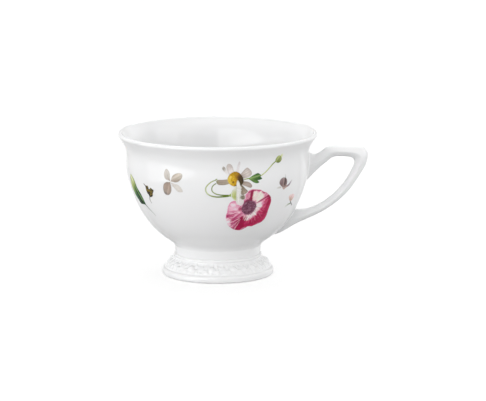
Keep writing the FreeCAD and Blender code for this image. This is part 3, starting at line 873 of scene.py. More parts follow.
BLOOM = {
    "left": [(-9.8, 0.8), (-8.7, 2.6), (-6.8, 3.2), (-4.6, 2.6), (-2.9, 0.8), (-3.3, -1.3), (-5.2, -1.9), (-7.4, -1.7), (-9.4, -1.3)],
    "mottle": [(-10.9, -4.3), (-9.4, -2.1), (-7.4, -1.7), (-4.6, -1.7), (-2.6, -3.8), (-3.3, -5.2), (-7.4, -7.4), (-9.6, -5.8)],
    "pale": [(-11.2, -6.3), (-9.2, -5.8), (-7.6, -7.4), (-8.7, -9.4), (-10.0, -10.6), (-11.1, -8.5)],
    "fan": [(-7.6, -6.9), (-5.0, -5.6), (-2.6, -4.9), (-4.1, -8.5), (-5.2, -13.2), (-7.8, -12.9), (-9.9, -10.1)],
    "deep": [(-2.9, -4.9), (-1.5, -5.8), (-0.9, -8.1), (0.0, -10.8), (-2.2, -12.6), (-5.0, -13.4), (-4.8, -9.7), (-5.3, -8.3), (-4.4, -6.5)],
    "right": [(-1.1, -7.4), (1.1, -6.9), (3.7, -4.7), (4.8, -3.0), (5.7, -1.7), (7.0, 0.0), (7.4, 2.8), (9.1, 5.4), (11.2, 4.0), (11.6, 0.8), (11.3, -1.9),
              (11.2, -4.7), (10.3, -8.4), (6.1, -10.8), (2.0, -11.6), (-0.4, -11.2)],
    "cream": [(3.9, 1.9), (5.9, 2.2), (6.6, 0.4), (5.0, -2.0), (3.7, -4.5), (1.2, -6.7), (-0.7, -6.9), (-1.8, -5.4), (0.0, -4.5), (2.4, -2.8), (3.5, -0.4)],
    "top": [(1.5, 7.9), (3.7, 8.1), (5.7, 7.2), (7.4, 6.5), (7.0, 5.0), (4.8, 3.2), (3.7, 2.4), (2.8, 3.2), (1.1, 3.8), (1.2, 6.0)],
    "top_pink": [(5.7, 8.8), (7.4, 8.2), (9.6, 7.0), (10.6, 5.4), (7.6, 4.5), (6.7, 6.2)],
    "up_left": [(-1.1, 7.5), (0.0, 7.9), (-0.2, 6.0), (-1.1, 4.6), (-2.0, 5.2)],
    "up_dark": [(-2.6, 3.6), (-1.1, 4.6), (0.4, 4.4), (0.4, 3.2), (-1.8, 2.4), (-2.8, 2.6)],
}


def paint_anemone(P):
    c = Ink(P)
    x, y = P[:, 0], P[:, 1]
    r = np.hypot(x, y)
    phi = np.arctan2(y, x)
    # drawn shapes wander a little, as a brush does
    W = P + 0.55 * np.c_[fbm(x * 0.55, y * 0.55, 3) - 0.5, fbm(x * 0.55 + 40, y * 0.55, 5) - 0.5] + 0.28 * np.c_[fbm(x * 1.9, y * 1.9, 7) - 0.5, fbm(x * 1.9 + 40, y * 1.9, 9) - 0.5]
    D = poly_d(P, closed_curve(ANEMONE, 6)) + 0.30 * (fbm(x * 0.9, y * 0.9, 4) - 0.5) + 0.14 * (fbm(x * 2.6, y * 2.6, 6) - 0.5)
    # rays from the middle, bent by the cup of the petals
    ray = phi * 7.0 + 0.9 * fbm(r * 0.28, phi * 1.5, 12)
    fine = vnoise(ray * 1.6, r * 0.32, 13) - 0.5
    finer = vnoise(ray * 4.2, r * 0.45, 14) - 0.5
    finest = vnoise(ray * 9.0, r * 0.7, 15) - 0.5

    def rgb(v):
        return np.tile(lin(v), (len(P), 1))

    def area(name, colour, soft, amount=1.0, swing=0.0, deep=(146, 22, 70), pale=(238, 216, 222)):
        d = poly_d(W, closed_curve(BLOOM[name], 6)) + swing * (1.3 * fine + 0.9 * finer)
        m = sstep(soft, -soft, d) * amount
        g = 1.5 * fine + 1.1 * finer + 0.5 * finest
        col = rgb(colour)
        col = lerp(col, rgb(deep), (np.clip(g * 1.1, 0, 1) * 0.8)[:, None])
        col = lerp(col, rgb(pale), (np.clip(-g * 1.1, 0, 1) * 0.7)[:, None])
        c.tint(m, col)

    c.lay(D, rgb((206, 128, 158)), 0.24)
    area("left", (220, 168, 186), 0.7, deep=(198, 122, 152), pale=(232, 214, 219))
    area("mottle", (194, 100, 134), 0.6, swing=0.9, deep=(156, 46, 86), pale=(230, 198, 208))
    area("pale", (224, 194, 202), 0.6, swing=0.6, deep=(190, 112, 140), pale=(234, 222, 224))
    area("fan", (190, 96, 130), 0.5, swing=0.9, deep=(146, 38, 76), pale=(226, 184, 200))
    area("deep", (158, 36, 70), 0.40, swing=0.7, deep=(138, 28, 60), pale=(178, 56, 92))
    area("right", (172, 38, 80), 0.60, swing=1.2, deep=(152, 27, 67), pale=(194, 74, 110))
    area("cream", (232, 212, 212), 0.60, swing=0.9, deep=(218, 168, 180), pale=(236, 224, 220))
    area("top", (226, 214, 204), 0.60, swing=0.6, deep=(222, 186, 188), pale=(226, 220, 208))
    area("top_pink", (212, 146, 168), 0.6, swing=0.8, deep=(176, 74, 108), pale=(228, 190, 200))
    area("up_left", (206, 146, 164), 0.35, deep=(176, 88, 114))

    def line(path, w0, w1, colour, amount, soft=0.35):
        d, f, side = path_d(W, path)
        half = 0.5 * (w0 + (w1 - w0) * f)
        c.tint(sstep(half + soft, half - soft * 0.6, d) * amount, rgb(colour))

    # crimson shadows along the lower right and bottom petals
    line([(9.9, 4.6), (9.9, 1.4), (9.4, -1.7), (8.6, -4.4), (6.4, -7.1), (3.4, -8.9), (0.2, -9.8)], 1.1, 0.7, (144, 28, 64), 0.75, 0.8)
    line([(6.4, -5.0), (4.6, -6.6), (2.6, -7.6)], 1.0, 0.6, (152, 30, 68), 0.65, 0.7)
    line([(8.4, 2.6), (7.3, 0.6), (6.1, -1.1)], 0.6, 0.3, (192, 98, 126), 0.6, 0.6)
    line([(9.2, 3.2), (8.6, 0.6), (7.6, -1.6)], 0.25, 0.15, (200, 116, 142), 0.5, 0.4)
    # paler rays that run out of the throat into the crimson
    for px, py, qx, qy, w, t in ((4.4, -1.6, 7.6, -2.9, 0.30, (208, 132, 152)), (4.2, -2.8, 7.0, -4.8, 0.34, (202, 120, 144)), (3.2, -4.3, 5.0, -7.6, 0.30, (206, 128, 150)),
                                 (1.8, -5.6, 3.2, -8.7, 0.26, (198, 112, 138)), (4.7, -0.5, 8.2, -0.7, 0.24, (198, 108, 134)), (0.8, -6.2, 1.4, -9.2, 0.24, (196, 106, 134)),
                                 (5.6, -3.8, 8.4, -6.6, 0.20, (186, 88, 118)), (2.6, -4.9, 4.4, -9.3, 0.16, (184, 86, 116))):
        line([(px, py), (0.5 * (px + qx) + 0.15, 0.5 * (py + qy)), (qx, qy)], w * 1.6, w * 0.3, t, 0.62, 0.28)
    line([(4.9, -2.9), (5.4, -4.0), (5.9, -5.2)], 0.3, 0.7, (152, 46, 80), 0.6, 0.3)
    line([(-1.0, -4.9), (-1.6, -6.5), (-2.0, -8.2)], 0.7, 1.3, (150, 40, 74), 0.85, 0.3)
    line([(-0.3, -5.2), (-0.5, -6.6), (-1.0, -8.4)], 0.30, 0.55, (140, 40, 70), 0.85, 0.22)
    line([(-2.6, -4.7), (-3.1, -7.4), (-2.8, -10.4)], 0.6, 1.3, (138, 36, 66), 0.75, 0.5)
    line([(-5.8, -12.0), (-3.4, -12.2), (-0.8, -11.2)], 0.8, 0.5, (142, 36, 68), 0.6, 0.5)
    # streaks of the lower left petal
    for k, (path, tone, w) in enumerate((
            ([(-3.4, -6.4), (-5.9, -8.8), (-8.9, -11.1)], 1, 0.34), ([(-3.6, -7.4), (-5.5, -9.9), (-7.2, -12.6)], 1, 0.30),
            ([(-3.9, -8.3), (-4.9, -10.6), (-5.9, -12.9)], 1, 0.24), ([(-3.9, -5.9), (-6.8, -7.4), (-9.9, -8.6)], 1, 0.40),
            ([(-2.6, -5.2), (-5.0, -7.5), (-7.6, -9.9)], 0, 0.46), ([(-2.9, -6.3), (-4.8, -8.9), (-6.5, -11.7)], 0, 0.50),
            ([(-4.2, -5.7), (-6.6, -6.5), (-8.4, -7.2)], 0, 0.50), ([(-3.5, -8.2), (-4.4, -10.4), (-5.1, -12.9)], 0, 0.50),
            ([(-6.4, -3.0), (-8.2, -3.4), (-10.2, -4.3)], 0, 0.42), ([(-5.6, -3.8), (-7.6, -4.9), (-9.2, -5.4)], 1, 0.26),
            ([(-3.2, -5.6), (-6.0, -7.9), (-8.6, -9.4)], 0, 0.24), ([(-3.3, -7.0), (-5.2, -9.4), (-7.0, -12.0)], 0, 0.22))):
        line(path, w * 0.6, w, (228, 192, 204) if tone else (146, 42, 76), 0.72 if tone else 0.70, 0.20)
    # wandering blotches where the tint has pooled or run thin
    for (px, py), (rx, ry_), colour, amt in (((-9.9, -7.6), (1.2, 0.8), (236, 222, 226), 0.85), ((-8.9, -9.3), (0.9, 0.9), (234, 214, 220), 0.7), ((-8.6, -2.6), (1.3, 0.5), (226, 196, 206), 0.6),
                                         ((-7.6, 1.6), (1.5, 0.8), (232, 218, 222), 0.7), ((-6.2, -0.4), (1.2, 0.6), (230, 208, 216), 0.6), ((-9.0, 0.4), (0.7, 1.0), (214, 168, 190), 0.5),
                                         ((-5.0, 2.6), (1.0, 0.6), (220, 178, 194), 0.5), ((-7.2, -5.6), (0.8, 0.4), (168, 66, 104), 0.6), ((-6.0, -3.6), (0.9, 0.4), (214, 160, 180), 0.5),
                                         ((9.0, 6.6), (0.9, 0.8), (222, 176, 190), 0.6), ((7.8, 5.4), (0.7, 0.5), (200, 118, 146), 0.5), ((-4.6, -2.4), (0.9, 0.6), (236, 214, 218), 0.6)):
        d = np.hypot((W[:, 0] - px) / rx, (W[:, 1] - py) / ry_)
        c.tint(sstep(1.3, 0.4, d) * amt, rgb(colour))
    # dark folds
    line([(-0.9, 8.0), (0.8, 8.7), (2.4, 8.85), (4.1, 8.8), (5.4, 8.5), (6.6, 7.1)], 0.7, 0.9, (164, 60, 92), 0.90, 0.24)
    line([(0.8, 8.4), (0.8, 6.7), (0.4, 4.6), (-0.2, 3.2)], 1.3, 2.0, (138, 38, 66), 0.97, 0.36)
    line([(1.6, 7.6), (1.4, 5.8), (1.4, 4.0)], 0.3, 0.3, (232, 202, 202), 0.7, 0.22)
    line([(4.0, 2.3), (5.6, 3.25), (7.0, 4.1), (9.1, 5.2), (10.5, 4.4)], 0.30, 0.95, (138, 36, 66), 0.95, 0.22)
    line([(4.1, 1.8), (6.0, 2.5), (7.6, 3.1)], 0.15, 0.35, (224, 172, 182), 0.65, 0.24)
    line([(9.2, 7.0), (10.2, 6.2)], 0.6, 0.6, (200, 112, 142), 0.6, 0.4)
    # edge: deep on the right and below, almost lost on the left
    right = sstep(-0.7, 0.7, x * 0.75 - y * 0.65)
    k = np.exp(-np.clip(-D, 0, 9) / 0.34)
    c.tint(k * lerp(0.22, 0.72, right), lerp(rgb((206, 142, 166)), rgb((146, 42, 72)), right[:, None]))
    for (px, py), rad, colour, amt in (((-10.1, -4.4), 0.75, (158, 62, 98), 0.9), ((-4.1, -0.5), 1.35, (168, 66, 98), 0.9), ((-8.9, -5.0), 0.6, (186, 92, 124), 0.6),
                                       ((-9.3, -10.4), 0.5, (190, 104, 136), 0.5), ((-8.0, -12.0), 0.5, (170, 78, 112), 0.5), ((-5.6, 0.4), 0.8, (208, 146, 172), 0.5)):
        d = np.hypot(W[:, 0] - px, W[:, 1] - py)
        c.tint(sstep(rad * 1.25, rad * 0.45, d) * amt, rgb(colour))
    area("up_dark", (132, 58, 82), 0.45, swing=0.5, deep=(104, 52, 70), pale=(160, 82, 108))
    # throat and the dark boss of stamens
    ry = np.hypot(x / 0.96, (y + 0.15) / 1.06)
    bright = np.clip(np.cos(phi + 0.75), 0, 1)
    c.tint(np.exp(-((ry - 4.35) / 0.50) ** 2) * bright * 0.8, rgb((230, 206, 204)))
    e = ry - 3.62 - 0.75 * (fbm(phi * 2.6 + 9, r * 0.2, 31) - 0.5)
    gran = vnoise(x * 3.2, y * 3.2, 33)
    gran2 = vnoise(x * 6.5, y * 6.5, 34)
    sw = np.sin(phi * 2 + r * 2.4 + 2.6 * vnoise(x * 0.9, y * 0.9, 35))
    tone = 0.42 * gran + 0.34 * gran2 + 0.06 * sw + 0.15 + 0.10 * np.exp(-((x - 0.6) ** 2 + (y + 0.4) ** 2) / 1.2) - 0.12 * np.exp(-((x + 1.2) ** 2 + (y - 0.2) ** 2) / 1.4)
    boss = ramp(np.clip(tone, 0, 1), [(0, (64, 46, 54)), (0.30, (88, 54, 70)), (0.52, (112, 68, 86)), (0.75, (142, 100, 118)), (1, (172, 136, 150))])
    c.tint(sstep(0.26, -0.26, e), boss)
    for k in range(52):
        a = 2 * math.pi * (k + 0.35 * math.sin(k * 5.1)) / 52
        rr = 3.72 + 0.42 * math.sin(k * 2.7) + 0.28 * math.cos(k * 7.3)
        dd = np.hypot(x - rr * math.cos(a) * 0.96, y + 0.15 - rr * math.sin(a) * 1.06)
        c.tint(sstep(0.24, 0.08, dd) * 0.85, rgb((82, 46, 60)))
    return c


def paint_daisy(P):
    c = Ink(P)
    x, y = P[:, 0], P[:, 1]
    c.petal([(-2.0, 1.2), (-3.7, 2.1), (-5.1, 3.5), (-5.9, 4.9), (-5.5, 6.0), (-4.6, 5.5), (-3.7, 4.0), (-1.6, 1.9)],
            (-2.0, 1.4), (-5.6, 5.6), [(0, (226, 224, 222)), (0.6, (214, 210, 207)), (0.78, (168, 162, 152)), (0.9, (146, 138, 128)), (1, (190, 184, 178))], streak=0.12, seed=41, opacity=0.95)
    c.petal([(-2.2, 1.4), (-3.5, 3.8), (-3.95, 5.6), (-3.4, 7.0), (-2.3, 7.1), (-1.3, 6.2), (-0.6, 4.1), (-0.4, 2.0)],
            (-1.2, 1.6), (-2.9, 6.9), [(0, (212, 206, 204)), (0.35, (222, 216, 214)), (0.7, (199, 189, 184)), (1, (190, 180, 174))], edge=(186, 176, 170), edge_w=0.25, streak=0.22, streak_n=2.4, seed=42)
    c.petal([(0.5, 2.4), (0.9, 5.0), (1.5, 7.4), (2.0, 8.3), (2.5, 7.4), (2.1, 5.0), (1.6, 2.2)],
            (0.9, 2.2), (2.0, 8.1), [(0, (214, 206, 206)), (0.5, (220, 214, 214)), (1, (204, 196, 198))], edge=(204, 198, 198), edge_w=0.2, streak=0.12, seed=43, opacity=0.85)
    c.petal([(2.2, 1.4), (4.0, 3.6), (5.3, 4.8), (6.2, 4.9), (7.6, 3.6), (8.1, 2.4), (7.7, 1.3), (6.1, 0.5), (4.8, 0.2), (2.6, 0.2)],
            (2.6, 0.8), (7.8, 3.2), [(0, (140, 122, 104)), (0.25, (178, 166, 158)), (0.6, (198, 188, 182)), (1, (180, 168, 160))], edge=(168, 155, 147), edge_w=0.3, streak=0.34, streak_n=2.6, seed=44)
    c.petal([(2.4, -1.2), (4.8, -1.3), (6.5, -1.7), (7.9, -2.7), (8.35, -4.0), (7.6, -4.6), (5.7, -3.9), (2.4, -2.4)],
            (2.5, -1.9), (8.0, -4.0), [(0, (118, 96, 72)), (0.25, (158, 142, 130)), (0.6, (178, 164, 154)), (1, (164, 148, 138))], edge=(156, 140, 132), edge_w=0.28, streak=0.36, streak_n=2.6, seed=45)
    c.petal([(2.0, -2.5), (3.8, -3.4), (5.1, -4.8), (6.4, -6.2), (5.5, -7.3), (4.1, -7.9), (2.8, -7.4), (2.4, -5.4)],
            (2.8, -2.8), (4.8, -7.8), [(0, (104, 94, 72)), (0.35, (130, 118, 100)), (0.7, (146, 132, 116)), (1, (168, 150, 138))], edge=(122, 108, 92), edge_w=0.35, streak=0.42, streak_n=2.2, seed=46)
    # pale calyx side and the white hanging petals
    c.petal([(0.4, -2.6), (-0.4, -4.6), (-1.0, -6.4), (-1.4, -8.0), (-0.6, -9.8), (1.0, -10.8), (2.0, -10.2), (2.0, -7.6), (1.4, -4.0)],
            (0.4, -2.6), (0.2, -10.4), [(0, (212, 208, 198)), (0.30, (210, 210, 190)), (0.55, (194, 200, 142)), (0.8, (176, 186, 112)), (1, (204, 208, 162))], streak=0.26, streak_n=2.2, seed=47, soft=0.9, jag=0.7)
    c.petal([(1.5, -0.9), (2.4, -2.6), (3.1, -4.4), (3.2, -6.7), (3.5, -8.9), (4.3, -10.4), (4.6, -11.8), (3.9, -13.0), (2.6, -12.9),
             (1.2, -11.5), (0.9, -9.6), (0.9, -6.9), (0.8, -5.0), (0.9, -2.8)],
            (1.6, -1.2), (3.2, -13.0), [(0, (222, 216, 206)), (0.3, (218, 217, 214)), (0.75, (220, 218, 212)), (1, (222, 210, 212))], edge=(204, 200, 192), edge_w=0.35, streak=0.20, streak_n=3.2, seed=48, soft=0.5, jag=0.8)
    c.petal([(3.2, -8.4), (4.1, -7.9), (5.1, -8.6), (5.2, -9.6), (4.4, -10.3), (3.3, -10.2), (2.8, -9.4)],
            (3.0, -9.6), (5.2, -8.9), [(0, (150, 142, 126)), (0.5, (124, 116, 98)), (1, (158, 140, 130))], streak=0.4, streak_n=3.0, seed=49, soft=0.6, jag=0.9)
    c.petal([(-2.6, -0.2), (-5.7, -0.3), (-7.6, -0.3), (-8.5, -0.6), (-8.6, -1.5), (-7.8, -2.5), (-6.6, -2.75), (-4.6, -2.7), (-2.2, -1.9)],
            (-2.2, -1.1), (-8.5, -1.3), [(0, (180, 168, 154)), (0.3, (164, 150, 134)), (0.75, (158, 144, 130)), (0.92, (150, 144, 120)), (1, (136, 144, 100))], edge=(146, 132, 118), edge_w=0.22, streak=0.26, streak_n=3.0, seed=50)
    # domed disc of tiny florets
    dome = [(4.1, -0.3), (3.9, -1.9), (3.0, -3.1), (1.2, -3.2), (-0.6, -3.5), (-2.5, -2.4), (-3.4, -0.8), (-3.3, 0.8),
            (-2.4, 2.2), (-1.1, 3.1), (0.5, 3.4), (2.1, 2.7), (3.2, 1.4)]
    d = poly_d(P, closed_curve(dome, 6))
    d = d + 0.22 * (fbm(x * 2.2, y * 2.2, 61) - 0.5)
    # a golden near face and a brown far side, the border curling over the top
    far = np.hypot(x + 1.35, y + 1.1) - 2.55 + 0.9 * (fbm(x * 1.3, y * 1.3, 62) - 0.5)
    gold = ramp(np.clip((x + 3.4) / 4.4 + 0.25 * (fbm(x, y, 66) - 0.5), 0, 1), [(0, (214, 186, 88)), (0.4, (208, 170, 54)), (0.8, (190, 148, 40)), (1, (176, 134, 38))])
    over = ramp(np.clip((x - y * 0.55 + 1.0) / 4.0, 0, 1), [(0, (176, 136, 38)), (0.30, (146, 106, 34)), (0.55, (106, 76, 32)), (0.75, (78, 58, 30)), (1, (70, 58, 38))])
    col = lerp(gold, over, sstep(-0.4, 0.6, far)[:, None])
    cell = vnoise(x * 3.2, y * 3.2, 63)
    cell2 = vnoise(x * 6.4, y * 6.4, 64)
    col = col * (1 + 0.55 * (cell - 0.5) + 0.40 * (cell2 - 0.5))[:, None]
    for (px, py), rad, tone, amt in (((-0.8, -1.5), 0.55, (108, 76, 26), 0.9), ((-1.5, -0.6), 0.4, (160, 112, 30), 0.5), ((0.6, 1.3), 0.6, (170, 118, 30), 0.5),
                                     ((-2.2, 0.8), 0.7, (232, 206, 112), 0.6), ((-1.9, -1.6), 0.5, (222, 186, 84), 0.6), ((0.2, 2.6), 0.5, (150, 112, 40), 0.6)):
        m = sstep(rad * 1.4, rad * 0.3, np.hypot(x - px, y - py)) * amt
        col = lerp(col, lin(tone)[None], m[:, None])
    rim = np.exp(-np.clip(-d, 0, 9) / 0.35)
    col = lerp(col, col * 0.74, (0.6 * rim)[:, None])
    c.lay(d, col, 0.22)
    # one white petal starts over the disc
    c.petal([(1.2, -0.6), (1.9, -1.3), (2.4, -2.6), (2.5, -4.6), (1.2, -4.4), (0.7, -2.6)], (1.3, -0.6), (1.8, -4.6),
            [(0, (196, 184, 160)), (0.25, (222, 220, 214)), (1, (230, 230, 230))], edge=(198, 188, 168), edge_w=0.22, streak=0.10, seed=51, soft=0.3)
    return c


def paint_tendril(P):
    c = Ink(P)
    c.stroke([(-2.4, 3.9), (-4.6, 3.0), (-6.5, 1.4), (-7.5, -0.4), (-7.1, -2.4), (-5.5, -3.8), (-2.6, -4.5), (0.3, -4.4), (2.4, -4.2), (3.9, -3.9)],
             0.46, 0.82, [(0, (140, 150, 100)), (0.15, (172, 182, 124)), (0.45, (200, 208, 160)), (0.62, (132, 146, 78)), (0.85, (98, 120, 44)), (1, (96, 120, 40))], edge=(92, 108, 48), shade=0.30)
    c.stroke([(-2.3, 2.3), (-3.7, 1.5), (-4.6, 0.1), (-4.5, -1.6), (-3.0, -2.9), (-0.8, -3.5), (1.5, -3.7), (3.9, -3.8)],
             0.44, 0.66, [(0, (112, 124, 74)), (0.2, (136, 148, 90)), (0.5, (148, 160, 100)), (0.75, (102, 122, 48)), (1, (96, 122, 42))], edge=(84, 102, 40), shade=0.30)
    c.petal([(-2.9, 4.2), (-2.2, 4.35), (-1.9, 3.7), (-2.3, 3.3), (-2.9, 3.5)], (-2.9, 3.8), (-1.9, 3.8), [(0, (120, 136, 74)), (1, (140, 150, 96))], streak=0.1, seed=71)
    c.petal([(3.0, -3.9), (4.2, -2.8), (5.0, -1.1), (5.7, -0.3), (6.7, -1.2), (6.9, -3.1), (6.8, -5.6), (6.0, -5.95), (5.1, -5.1), (3.9, -4.4)],
            (3.2, -3.9), (7.0, -3.0), [(0, (120, 144, 62)), (0.3, (150, 172, 88)), (0.6, (190, 204, 140)), (1, (220, 226, 194))], edge=(160, 176, 108), edge_w=0.3, streak=0.22, streak_n=2.2, seed=72)
    return c


def paint_bud_stem(P):
    c = Ink(P)
    c.stroke([(-6.2, -0.4), (-5.0, -0.1), (-2.8, 0.1)], 0.75, 0.6, [(0, (140, 128, 92)), (0.4, (158, 168, 112)), (1, (120, 150, 80))], edge=(120, 128, 72))
    c.stroke([(1.8, 0.4), (4.8, 2.2), (7.3, 4.2), (9.3, 6.0), (11.0, 7.2)], 0.46, 0.62,
             [(0, (170, 188, 112)), (0.25, (196, 204, 142)), (0.6, (182, 192, 122)), (0.85, (128, 146, 66)), (1, (110, 130, 50))], edge=(134, 144, 84), shade=0.35)
    leaf = [(-3.5, -0.2), (-2.3, 0.9), (-0.4, 1.8), (1.0, 2.25), (1.9, 1.8), (2.65, 1.1), (2.4, 0.4), (3.25, -0.5), (2.1, -1.0),
            (0.95, -1.2), (1.8, -2.1), (0.6, -2.55), (-1.1, -2.0), (-2.4, -1.1)]
    d, u, v = c.petal(leaf, (-3.4, -0.3), (2.6, 0.9), [(0, (136, 160, 96)), (0.22, (100, 130, 70)), (0.55, (76, 112, 50)), (1, (40, 80, 32))],
                      edge=(60, 96, 50), edge_w=0.28, streak=0.42, streak_n=2.0, seed=81)
    inside = sstep(0.0, -0.2, d)
    c.tint(inside * np.exp(-((u - 0.25) / 0.28) ** 2) * 0.55 * (v > 0.1), lin((154, 180, 108))[None])
    c.tint(inside * np.exp(-((u + 0.95) / 0.22) ** 2) * 0.65 * sstep(0.25, 0.5, v), lin((44, 76, 36))[None])
    c.tint(inside * np.exp(-((u - 1.25) / 0.3) ** 2) * 0.55 * sstep(0.3, 0.6, v), lin((50, 86, 42))[None])
    for k in range(5):
        x0 = -2.0 + 0.9 * k
        dd, f, sd = path_d(P, [(x0, -0.15 + 0.17 * k), (x0 + 0.8, 0.75 + 0.16 * k), (x0 + 1.25, 1.4 + 0.1 * k)])
        c.tint(inside * sstep(0.12, 0.04, dd) * 0.30, lin((150, 180, 116))[None])
    bud = [(10.3, 7.3), (10.5, 8.3), (10.9, 9.2), (11.7, 9.8), (12.8, 9.4), (13.7, 8.5), (14.1, 7.4), (13.5, 6.3), (12.2, 5.9), (10.9, 6.4)]
    c.petal([(12.4, 9.0), (12.7, 9.9), (13.6, 10.5), (14.1, 9.9), (14.0, 8.8), (13.5, 8.2)], (12.8, 8.6), (13.9, 10.5),
            [(0, (196, 204, 120)), (1, (226, 228, 182))], streak=0.1, seed=83, opacity=0.85)
    d, u, v = c.petal(bud, (11.0, 6.4), (12.6, 9.8), [(0, (96, 110, 56)), (0.35, (138, 150, 84)), (0.7, (164, 174, 104)), (1, (190, 198, 136))],
                      edge=(120, 132, 72), edge_w=0.3, streak=0.30, streak_n=2.4, seed=84)
    inside = sstep(0.0, -0.2, d)
    c.tint(inside * np.exp(-((u + 0.9) / 0.35) ** 2) * 0.55, lin((102, 118, 58))[None])
    c.tint(inside * np.exp(-((u - 0.25) / 0.35) ** 2) * 0.50, lin((196, 202, 134))[None])
    return c


def paint_violet(P):
    c = Ink(P)
    c.petal([(-1.2, -1.8), (-2.5, -1.7), (-3.7, -2.1), (-3.4, -2.6), (-2.1, -2.65), (-0.9, -2.5)], (-1.2, -2.1), (-3.7, -2.3),
            [(0, (178, 172, 168)), (1, (206, 206, 200))], streak=0.1, seed=91, opacity=0.85)
    c.petal([(2.6, -2.7), (2.5, -1.9), (3.9, -1.3), (5.0, -0.25), (6.0, 0.5), (6.4, 0.3), (5.6, -1.0), (4.5, -2.15)], (2.5, -2.2), (6.3, 0.4),
            [(0, (140, 118, 118)), (0.4, (128, 112, 122)), (0.7, (168, 158, 164)), (1, (206, 202, 204))], streak=0.25, streak_n=3, seed=92)
    c.petal([(-0.5, -1.5), (0.1, -2.9), (1.1, -3.7), (1.9, -3.2), (3.0, -2.6), (2.6, -1.6)], (1.2, -1.6), (1.2, -3.7),
            [(0, (146, 122, 116)), (1, (196, 172, 162))], edge=(180, 152, 144), edge_w=0.25, streak=0.2, streak_n=3, seed=93)
    d, u, v = c.petal([(-0.6, 2.4), (-1.75, 1.9), (-2.5, 0.7), (-2.25, -0.5), (-1.0, -1.7), (0.4, -2.2), (1.9, -2.1), (2.65, -1.0), (2.55, 0.5), (1.85, 1.7), (0.7, 2.35)],
                      (0.4, -2.2), (0.5, 2.4), [(0, (140, 116, 108)), (0.4, (124, 100, 102)), (0.8, (138, 116, 116)), (1, (164, 150, 148))],
                      edge=(112, 92, 94), edge_w=0.28, streak=0.34, streak_n=2.6, seed=94)
    inside = sstep(0.0, -0.15, d)
    x, y = P[:, 0], P[:, 1]
    c.tint(inside * np.exp(-((x - 1.15 - 0.05 * y) / 0.50) ** 2) * sstep(-1.9, -1.0, y) * 0.95, lin((52, 38, 30))[None])
    c.tint(inside * np.exp(-((x - 0.2) / 0.30) ** 2) * 0.35, lin((172, 148, 140))[None])
    c.stroke([(1.25, 1.4), (1.25, 2.6), (1.1, 3.9)], 0.34, 0.14, [(0, (78, 66, 56)), (0.5, (112, 112, 98)), (1, (186, 188, 180))], soft=0.12)
    return c


def paint_rosebud(P):
    c = Ink(P)
    c.petal([(0.2, -2.5), (-1.7, -2.65), (-3.4, -3.25), (-4.6, -4.1), (-4.1, -4.4), (-2.0, -3.9), (-0.3, -3.35), (0.9, -3.0)], (0.8, -2.7), (-4.5, -4.3),
            [(0, (96, 110, 78)), (0.25, (140, 150, 128)), (0.6, (188, 190, 184)), (1, (210, 210, 208))], streak=0.2, streak_n=3.2, seed=101)
    c.stroke([(-0.9, -0.9), (0.4, -2.1), (1.4, -3.0), (3.2, -4.3)], 0.6, 0.42, [(0, (104, 98, 68)), (0.4, (44, 54, 32)), (1, (62, 74, 46))], soft=0.14)
    d, u, v = c.petal([(-2.2, 0.0), (-2.9, 1.0), (-2.3, 1.95), (-0.7, 2.35), (1.3, 1.85), (2.15, 0.8), (1.6, -0.5), (0.9, -1.4), (-0.4, -1.5), (-1.5, -0.9)],
                      (-0.6, -1.4), (0.9, 2.2), [(0, (140, 118, 96)), (0.3, (184, 156, 142)), (0.6, (216, 182, 180)), (1, (232, 212, 214))],
                      edge=(214, 186, 184), edge_w=0.3, streak=0.26, streak_n=2.4, seed=102)
    inside = sstep(0.0, -0.15, d)
    c.tint(inside * np.exp(-((u - 0.9) / 0.4) ** 2) * 0.4, lin((158, 134, 118))[None])
    c.tint(inside * np.exp(-((u + 0.3) / 0.25) ** 2) * 0.35 * sstep(0.3, 0.7, v), lin((202, 140, 150))[None])
    return c


